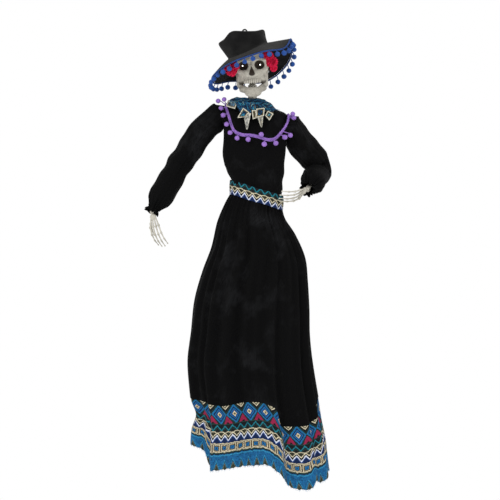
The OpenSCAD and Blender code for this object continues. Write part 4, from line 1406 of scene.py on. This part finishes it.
def build_bodice():
    g = Field((-50, -50, -350), (112, 46, -132), 1.25)
    upper = smoothstep(-240, -180, g.z)
    slope = -0.158 * upper - 0.31 * (1 - smoothstep(-310, -260, g.z))
    level = g.z - slope * (g.x - 22)
    rows = np.array(BODICE_ROWS[::-1], float).T
    cx, hw, hd = (np.interp(level, rows[0], row) for row in rows[1:])
    chest = -4.0 * np.exp(-((level + 210) / 38) ** 2)
    angle = np.arctan2(g.y - chest, g.x - cx)
    crease = (
        1.0 * np.sin(0.16 * g.z + 0.05 * g.x + 1.6 * np.sin(0.06 * g.x + 0.4))
        * np.exp(-((level + 292) / 26) ** 2)
        + 0.8 * np.sin(0.11 * g.x - 0.05 * g.z + 1.2 * np.sin(0.04 * g.z))
        + 0.5 * np.sin(9 * angle + 0.04 * g.z))
    k = (np.abs((g.x - cx) / hw) ** 2.5 + np.abs((g.y - chest) / hd) ** 2.5) ** 0.4
    f = (k - 1) * np.minimum(hw, hd) * 1.12 - crease * 0.9
    hard = np.maximum(-chest_reach(g, -1) - 3.6 - g.y, g.y - chest_reach(g, 1) - 3.6)
    f = join_soft(f, hard + 8 * (1 - smoothstep(-308, -284, level)), 2.5)
    f = -join_soft(-f, -(level + 150.5), 9)
    shell = np.maximum(f, -(f + 1.9))
    neck = np.sqrt((g.x - 16.5) ** 2 + ((g.y - 1) * 1.25) ** 2) - 21
    shell = np.maximum(shell, -np.maximum(neck, -170 - g.z))
    shell = np.maximum(shell, -320.5 - (g.z - WAIST_SLOPE * (g.x - 24)))
    for arm in ARM.values():
        p = np.stack([g.x - TORSO_AT[0], g.y, g.z - TORSO_AT[2]], -1) @ arm["chest"]
        hole = np.sqrt((p[..., 1] / 16) ** 2 + ((p[..., 2] + 1) / 19) ** 2) - 1
        hole = np.maximum(hole * 16, 54 - arm["sign"] * p[..., 0])
        shell = np.maximum(shell, -hole)
    verts, faces = g.mesh(shell)
    verts = relax(verts, faces, 3)
    obj = new_object("bodice_gauze", verts, faces, GAUZE)
    layer = obj.data.uv_layers.new(name="cloth")
    u = (50 * np.arctan2(verts[:, 1] / 34, (verts[:, 0] - 22) / 60))[faces]
    # a face across the seam keeps one side of it
    seam = (u.max(1) - u.min(1) > 150)[:, None] & (u < 0)
    u = np.where(seam, u + TAU * 50, u)
    uv = np.stack([u, -verts[:, 2][faces]], -1)
    layer.data.foreach_set("uv", uv.astype(np.float32).ravel())
    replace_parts(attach(obj, "torso"), "bodice")


# ---------- Sleeves ----------

UPPER_RINGS = {
    # distance from the shoulder, radius, how far the sleeve lies out from (or sags below) the arm
    "right": [(0, 23, -5), (20, 26, -2.5), (40, 25.5, 2), (60, 26, 3.5), (80, 25.5, 2), (100, 25.5, 0)],
    "left": [(0, 22, -8), (18, 25.5, -12), (38, 27.5, -14), (60, 28, -12.5), (80, 27.5, -10.5),
             (98, 26, -8.5)],
}
LOWER_RINGS = [
    # distance from the elbow, radius
    (24, 24), (40, 24.5), (60, 25), (78, 24.5), (90, 21.5), (98, 16), (104, 12.4), (107.5, 11.3)]
CUFF_RINGS = [
    # distance from the elbow, radius, depth of the frill
    (107.5, 11.3, 0.2), (108.6, 10.9, 0.3), (110, 11.4, 0.6), (112, 12.6, 1.3), (114.5, 13.8, 1.9),
    (117, 14.6, 2.3)]
SLEEVE_SIDES = 132
ELBOW_FILLET = 17.0


def station(at, along, width, depth, distance):
    """A ring of the sleeve as one row: middle, direction, two radii, and how far down the arm."""
    return np.concatenate([at, along, [width, depth, distance]])


def armhole_stations(arm):
    chest, out = arm["chest"], arm["sign"] * np.array([1.0, 0.0, 0.0])
    lateral = unit(0.9 * (chest @ out) + np.array([0, 0, -0.25]))
    hole = TORSO_AT + chest @ (58 * out + DOWN) + 11 * DOWN - 9 * lateral
    middle = TORSO_AT + chest @ (69 * out - 1.5 * DOWN) + 9 * DOWN
    return lateral, [
        station(hole, lateral, 29.0, 17.5, -45.0),
        station(middle, unit(lateral + 0.35 * arm["up_dir"]), 29.5, 21.5, -20.0)]


def elbow_stations(arm, bend, outward, hang):
    """Rings round the bent elbow, on an arc that touches both halves of the arm."""
    up_dir, fore_dir = arm["up_dir"], arm["fore_dir"]
    reach = ELBOW_FILLET * math.tan(bend / 2)
    centre = arm["elbow"] + unit(fore_dir - up_dir) * (ELBOW_FILLET / math.cos(bend / 2))
    start = arm["elbow"] - up_dir * reach
    axis = unit(np.cross(up_dir, fore_dir))
    steps = max(3, int(math.degrees(bend) / 12))
    rings = []
    for k in range(steps + 1):
        phi = bend * k / steps
        at, tangent = (
            v * math.cos(phi) + np.cross(axis, v) * math.sin(phi) + axis * (axis @ v) * (1 - math.cos(phi))
            for v in (start - centre, up_dir))
        weight = min(1, bend / 1.6) * math.sin(math.pi * (k + 0.5) / (steps + 1)) ** 0.5
        radius = 25.0 - 6.5 * weight
        shift = unit(at) * 5.5 * weight + outward * hang * (1 - 0.5 * weight)
        distance = UPPER_ARM_L - reach + ELBOW_FILLET * phi
        rings.append(station(centre + at + shift, tangent, radius, radius * 0.98, distance))
    return rings


def sleeve_stations(side):
    """Rings of a sleeve from the armhole to the wrist."""
    arm = ARM[side]
    up_dir, fore_dir = arm["up_dir"], arm["fore_dir"]
    bend = math.acos(np.clip(up_dir @ fore_dir, -1, 1))
    reach = ELBOW_FILLET * math.tan(bend / 2)
    outward = unit(arm["sign"] * np.array([-up_dir[2], 0, up_dir[0]]))
    hang = UPPER_RINGS[side][-1][2]
    lateral, stations = armhole_stations(arm)
    for s, r, shift in UPPER_RINGS[side]:
        if s < UPPER_ARM_L - reach - 2:
            tilt = unit(up_dir + (1 - smoothstep(-5, 45, s)) * 0.8 * lateral)
            at = arm["shoulder"] + up_dir * s + outward * shift
            stations.append(station(at, tilt, r, r * 0.93, s))
    stations.extend(elbow_stations(arm, bend, outward, hang))
    for s, r in LOWER_RINGS:
        if s > reach + 3:
            at = arm["elbow"] + fore_dir * s + outward * hang * (1 - smoothstep(20, 92, s))
            stations.append(station(at, fore_dir, r, r * 0.96, UPPER_ARM_L + s))
    return stations


def across(along):
    """Two directions across a limb: sideways and to the front."""
    right = unit(np.cross(along, np.array([0.0, 1.0, 0.0])))
    return right, np.cross(right, along)


def sleeve_ring(row, phi, fine, big, odd):
    """Points of one sleeve ring, gathered at armhole and wrist, wrinkled most at the elbow."""
    right, front = across(unit(row[3:6]))
    s = row[8]
    gather = smoothstep(195, 228, s)
    top = 1 - smoothstep(-35, 15, s)
    elbow = math.exp(-((s - UPPER_ARM_L) / 34) ** 2)
    grow = fine(phi, s * 0.010) * (0.35 + 1.0 * gather + 0.8 * top)
    grow = grow + big(phi, s * 0.018) * (0.9 + 0.3 * elbow) * (1 - 0.75 * gather) * (1 - 0.6 * top)
    wrinkle = 0.9 * np.sin(s * 0.16 + 2.0 * np.sin(phi + s * 0.012) + odd) * (1 - gather)
    grow = grow + wrinkle * (0.6 + 1.3 * elbow) * (1 - top) * np.cos(phi - 0.6)
    wide = ((row[6] + grow) * np.cos(phi))[:, None] * right
    return row[:3] + wide + ((row[7] + grow) * np.sin(phi))[:, None] * front


def cuff_points(arm, phi, frill):
    """Ruffled cuff: gathered by elastic, then flared."""
    along = arm["fore_dir"]
    right, front = across(along)
    rings = []
    for s, r, wave in CUFF_RINGS:
        radius = (r + wave * frill(phi))[:, None]
        ahead = (s + wave * 0.5 * np.sin(7 * phi + 1))[:, None] * along
        rings.append(
            arm["elbow"] + ahead + radius * (np.cos(phi)[:, None] * right + np.sin(phi)[:, None] * front))
    rings = np.array(rings)
    return np.array([curve(rings[:, j], 22) for j in range(len(phi))]).transpose(1, 0, 2)


def build_sleeve(side):
    arm = ARM[side]
    odd = len(side)
    rows = curve(sleeve_stations(side), 150)
    phi = angles(SLEEVE_SIDES)
    fine = ripples(71 + odd, (14, 19, 23), (0.6, 0.6, 0.4))
    big = ripples(75 + odd, (3, 5, 7), (0.7, 0.6, 0.5))
    points = np.array([sleeve_ring(row, phi, fine, big, odd) for row in rows])
    cuff = cuff_points(arm, phi, ripples(81 + odd, (9, 11, 14), (0.9, 0.8, 0.5)))

    # where one piece of the sleeve ends and the next begins
    cut_a = int(np.argmin(np.abs(rows[:, 8] + 12)))
    cut_b = int(np.argmin(np.abs(rows[:, 8] - 42)))
    sheets = []
    run = 0.0
    for name, part in (("sleeve_top", points[:cut_a + 1]), ("sleeve_upper", points[cut_a:cut_b + 1]),
                       ("sleeve_lower", points[cut_b:]), ("cuff_ruffle", cuff)):
        step = np.linalg.norm(np.diff(part.mean(1), axis=0), axis=1)
        down = np.concatenate([[0], np.cumsum(step)]) + run
        u = np.repeat((np.arange(SLEEVE_SIDES + 1) / SLEEVE_SIDES * 150)[None], len(part), 0)
        uv = (u, down_uv(u, down))
        sheets.append(sheet_object(f"{side}_{name}", part, GAUZE, True, uv, GAUZE_THICK))
        run = down[-1]
    top, upper, lower, cuff = sheets

    shoulder, arm_body, fore = side + "_shoulder", side + "_upper_arm_body", side + "_forearm_body"
    start, join_a, join_b = (
        tuple(p * MM) for p in (rows[0][:3], points[cut_a].mean(0), points[cut_b].mean(0)))
    elbow, span = arm["elbow"] * MM, 0.030 * unit(arm["up_dir"] + arm["fore_dir"])
    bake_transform(top)
    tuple(start)
    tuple(join_a)
    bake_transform(upper)
    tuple(join_a)
    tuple(join_b)
    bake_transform(lower)
    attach(cuff, fore)
    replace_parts(upper, side + "_upper_sleeve")
    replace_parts(lower, side + "_lower_sleeve")
    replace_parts(cuff, side + "_cuff")


# ---------- Neckline trim ----------

NECKLINE = [
    (-37, 0, -146), (-36, -16, -157), (-31, -27, -172), (-27, -33, -186), (-20, -37, -200),
    (-6, -40, -207), (14, -41, -208.5), (30, -41, -212), (46, -39, -217), (60, -36, -215),
    (74, -31, -201), (84, -23, -186), (88, -12, -172), (88, 0, -164), (80, 17, -171),
    (66, 29, -189), (42, 34, -203), (12, 34, -203), (-12, 30, -190), (-30, 18, -165)]

NECKLINE_BALLS = np.array([
    (-53, -8, -139), (-41, -15, -136), (-47, -14, -154), (-43, -24, -168), (-36, -32, -186),
    (-29, -39, -203), (-15, -43, -214), (7, -46, -216.5), (33, -47, -207), (39, -47, -226),
    (62, -44, -224), (80, -38, -212), (91, -30, -208), (96, -15, -165), (98, -12, -173),
    (95, 12, -172), (84, 26, -190), (66, 37, -205), (46, 41, -214), (26, 42, -216),
    (6, 41, -213), (-14, 39, -205), (-30, 31, -190), (-44, 18, -166)], float)


def build_neckline():
    path = on_bodice(closed_curve(NECKLINE, 560))
    m = len(path)
    tangent = unit(np.roll(path, -1, 0) - np.roll(path, 1, 0))
    side = unit(np.cross(tangent, unit(path - np.array([22, 0, -200]))))
    up = np.cross(side, tangent)
    strands = []
    for k in range(3):
        twist = (angles(m) * 38 + k * TAU / 3)[:, None]
        braid = path + 1.25 * (np.cos(twist) * side * 1.6 + np.sin(2 * twist) * up * 0.45)
        strands.append(loop_tube("strand", braid, 1.6, PURPLE_YARN, (0.1, 0.05, 1)))
    cord = joined("neckline_cord_yarn", strands)
    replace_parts(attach(cord, "torso"), "neckline_cord")
    roots = [path[int(np.argmin(np.linalg.norm(path - b, axis=1)))] for b in NECKLINE_BALLS]
    poms = pompoms("neckline_pompoms_yarn", NECKLINE_BALLS, roots, PURPLE_YARN, 23)
    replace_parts(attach(poms, "torso"), "neckline_pompoms")


def cloth_hits(cloths, start, toward):
    """Where a ray first meets each cloth, in millimetres."""
    rays = [cloth.ray_cast(Vector(start) * MM, Vector(toward)) for cloth in cloths]
    return np.array([at for ok, at, _, _ in rays if ok]).reshape(-1, 3) / MM


def on_bodice(path):
    """Lays each point of the neckline on the cloth in front of it or behind it."""
    cloths = [bpy.data.objects[n] for n in ("bodice_gauze", "right_sleeve_top", "left_sleeve_top")]
    out = []
    for p in path:
        side = 1 if p[1] > 2 else -1
        hits = cloth_hits(cloths, (p[0], 200 * side, p[2]), (0, -side, 0))
        hits = hits[hits[:, 1] * side > -4]
        if len(hits) and abs(p[1] - 2) > 9:
            at = hits[np.argmax(hits[:, 1] * side)]
            out.append(at + np.array([0, side * 1.4, 0]))
        else:
            hits = cloth_hits(cloths, (p[0], p[1], 0), DOWN)
            at = hits[np.argmax(hits[:, 2])] if len(hits) else p
            out.append(at + np.array([0, 0, 1.4]))
    out = np.array(out)
    for _ in range(10):
        out = 0.5 * out + 0.25 * (np.roll(out, 1, 0) + np.roll(out, -1, 0))
    return out


# ---------- Kerchief ----------


def flap(name, corners, bulge, fold, seed, bound="abcd", pale=0.0):
    """Flap of cloth between four corners; bound says which sides (a top, b right, c bottom,
    d left) are an edge of the cloth."""
    rng = np.random.default_rng(seed)
    a, b, c, d = (np.array(p, float) for p in corners)
    s, t = np.meshgrid(np.linspace(0, 1, 26), np.linspace(0, 1, 26), indexing="ij")
    p = ((1 - s) * (1 - t))[..., None] * a + ((1 - s) * t)[..., None] * b
    p = p + (s * t)[..., None] * c + (s * (1 - t))[..., None] * d
    belly = np.sin(math.pi * s) * np.sin(math.pi * t)
    ridge = np.exp(-(((s - t) + rng.uniform(-0.1, 0.1)) / 0.16) ** 2)
    p[..., 1] -= bulge * belly + fold * ridge * (0.4 + 0.6 * belly)
    p[..., 1] += 0.5 * np.sin(9 * s + 5 * t + rng.uniform(0, TAU))
    length = np.linalg.norm(0.5 * (d + c) - 0.5 * (a + b))
    width = np.linalg.norm(0.5 * (b + c) - 0.5 * (a + d))
    away = {"a": s * length, "b": (1 - t) * width, "c": (1 - s) * length, "d": t * width}
    edge = np.minimum.reduce([np.full_like(s, 30.0)] + [away[side] for side in bound])
    return sheet_object(name, p, KERCHIEF, False, (t * width + seed * 13.0, s * length), 0.9,
                        {"edge": edge, "pale": np.full(edge.size, pale)})


def build_collar():
    """The band across: from inside the neck, over the roll, down on to the chest."""
    count = 34
    a = angles(260)
    rumple = ripples(91, (4, 7, 11, 15), (1.3, 1.1, 0.8, 0.5))
    section = curve([(22, 0, -9), (24.5, 0, -1), (29, 0, 4), (34.5, 0, 3.2), (40, 0, -1.5),
                     (45.5, 0, -7.5), (49.5, 0, -12.5)], count)
    rows = []
    for k, (r, _, h) in enumerate(section):
        s = k / (count - 1)
        crease = rumple(a, s * 5) * (0.4 + 0.9 * s)
        roll = 1.3 * np.sin(3.0 * a + 14 * s + 0.8 * np.sin(2 * a)) * math.sin(math.pi * s)
        rx = r * 1.04 + crease * 0.6
        ry = r * (0.74 - 0.10 * s) + crease * 0.5
        lift = 4.5 * near_angle(a, -55, 60) * math.sin(math.pi * min(s * 1.5, 1)) ** 0.5
        z = -142.5 + h - 0.19 * rx * np.cos(a) + roll + 0.5 * crease + lift
        rows.append(oval(a, rx, ry, z, (16.5, -1)))
    points = np.array(rows)
    down = np.arange(count) * 1.25
    edge = np.repeat((down[::-1] + 3.2)[:, None], len(a), 1)
    return sheet_object("scarf_collar", points, KERCHIEF, True, cloth_uv(points, down), 1.2,
                        {"edge": edge, "pale": np.zeros(edge.size)})


def build_knot():
    """A fat wrapped bead of cloth."""
    a = angles(60)
    rows = []
    for t in np.linspace(-1, 1, 25):
        ripple = 0.5 * np.sin(5 * a + t * 4) + 0.35 * np.sin(9 * a - t * 6)
        r = 7.4 * math.sqrt(max(1 - t * t * 0.96, 0.02)) + ripple
        rows.append(oval(a, r, 0.8 * r, -151.5 - 9.5 * t, (17 + 1.5 * t, -39.5)))
    points = np.array(rows)
    edge = np.tile(3.0 + 5.0 * np.abs(np.sin(2.5 * a)), 25)
    return sheet_object("scarf_knot", points, KERCHIEF, True, cloth_uv(points, np.arange(25) * 0.8),
                        0.8, {"edge": edge, "pale": np.zeros(edge.size)})


def build_scarf():
    scarf = joined("kerchief", [
        build_collar(), build_knot(),
        flap("corner", [(-14, -33, -141), (-33, -17, -137.5), (-38, -24, -150), (-19, -36, -156)],
             2.0, 1.8, 4, "bcd", 0.15),
        flap("fold", [(-20, -32, -141), (10, -40, -142), (13, -42.5, -164), (-10, -40.5, -161)],
             3.5, 2.4, 9, ""),
        flap("wing", [(24, -38, -146), (50, -27, -152), (70, -21, -158), (32, -38.5, -157)],
             2.0, 1.0, 12, "")])
    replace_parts(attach(scarf, "torso"), "scarf")
    tails = joined("kerchief_tails", [flap("tail", *tail) for tail in (
        ([(-3, -43, -153), (10, -45, -163), (1, -46, -172), (-15, -42.5, -174)], 1.8, 1.6, 2),
        ([(-3, -42.5, -165), (13, -44, -164), (5.5, -44.5, -196.5), (3.5, -44.5, -196.8)],
         1.2, 2.2, 3, "abcd", 0.75),
        ([(23, -43.5, -155), (40, -43, -153.5), (38.5, -45, -170), (22, -45.5, -174)], 1.6, 1.2, 5),
        ([(23, -43, -168), (38, -43, -165), (34.5, -45, -192.5), (32.8, -45, -192.8)],
         1.2, 1.8, 6, "abcd", 0.45),
        ([(46, -41, -159), (58, -39, -165.5), (49, -42, -179), (40.5, -43, -169)], 1.4, 1.2, 7),
        ([(14, -44, -158), (23, -44, -158), (24, -45, -174), (16, -45.5, -177)], 1.2, 1.0, 8))])
    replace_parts(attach(tails, "torso"), "scarf_tails")


# ---------- Hardware that shows where the cloth opens ----------

FINISH = {
    BLACK_STEEL: ("hanging_eye",),
    STEEL: ("eye_nut", "skull_screws", "button_cells", "jaw_pins", "neck_clip", "nod_pin",
            "torso_screws", "right_shoulder_pin", "right_elbow_pin", "right_wrist_pin",
            "left_shoulder_pin", "left_elbow_pin", "left_wrist_pin"),
    BONE_PLAIN: ("battery_door", "neck_post", "neck_collar", "torso_front", "torso_back", "hip_form",
                 "right_yoke", "right_upper_arm", "right_forearm", "left_yoke", "left_upper_arm",
                 "left_forearm"),
    LENS: ("led_eyes",),
    BOARD: ("led_carrier",),
    BLACK_PLASTIC: ("battery_holder", "power_switch"),
    RED_WIRE: ("led_leads",),
}


def finish_hardware():
    for material, names in FINISH.items():
        for name in names:
            mesh = frame["nodes"][name].data
            mesh.materials.clear()
            mesh.materials.append(material)


# ---------- Stage ----------


def build_stage():
    white = plain_material("backdrop", (0.86, 0.86, 0.86), (0.88, 0.88, 0.88), 0.9, 3)
    side = np.linspace(-2000, 2000, 3)
    x, y = np.meshgrid(side, side)
    floor = sheet_object("backdrop", np.stack([x, y, np.full_like(x, -1060.0)], -1), white)
    scene = bpy.context.scene
    scene.view_settings.view_transform = "Standard"
    world = bpy.data.worlds.new("studio")
    world.use_nodes = True
    world.node_tree.nodes["Background"].inputs[0].default_value = (1, 1, 1, 1)
    world.node_tree.nodes["Background"].inputs[1].default_value = 1.0
    scene.world = world
    lamps = (
        ("key", (-1.3, -2.4, 1.2), 1.3, 34),
        ("fill", (1.8, -2.2, 0.1), 1.6, 10),
        ("rim", (0.3, 1.6, 1.6), 1.2, 14),
    )
    for name, at, size, power in lamps:
        data = bpy.data.lights.new(name, "AREA")
        data.size = size
        data.energy = power
        lamp = bpy.data.objects.new(name, data)
        lamp.location = at
        lamp.rotation_euler = (Vector((0.01, 0, -0.42)) - Vector(at)).to_track_quat("-Z", "Y").to_euler()
        scene.collection.objects.link(lamp)


def build_camera():
    data = bpy.data.cameras.new("camera")
    data.sensor_width = 36
    data.lens = 360
    camera = bpy.data.objects.new("camera", data)
    camera.location = (0.0106, -10.0, -0.4368)
    camera.rotation_euler = (math.pi / 2, 0, 0)
    bpy.context.scene.collection.objects.link(camera)
    bpy.context.scene.camera = camera


build_camera()
build_stage()
build_skull()
build_jaw()
build_hand("right")
build_hand("left")
build_crown()
build_brim()
build_brim_trim()
build_roses()
build_bodice()
build_belt()
build_skirt()
for name in POSE:
    build_sleeve(name)
build_neckline()
build_scarf()
finish_hardware()
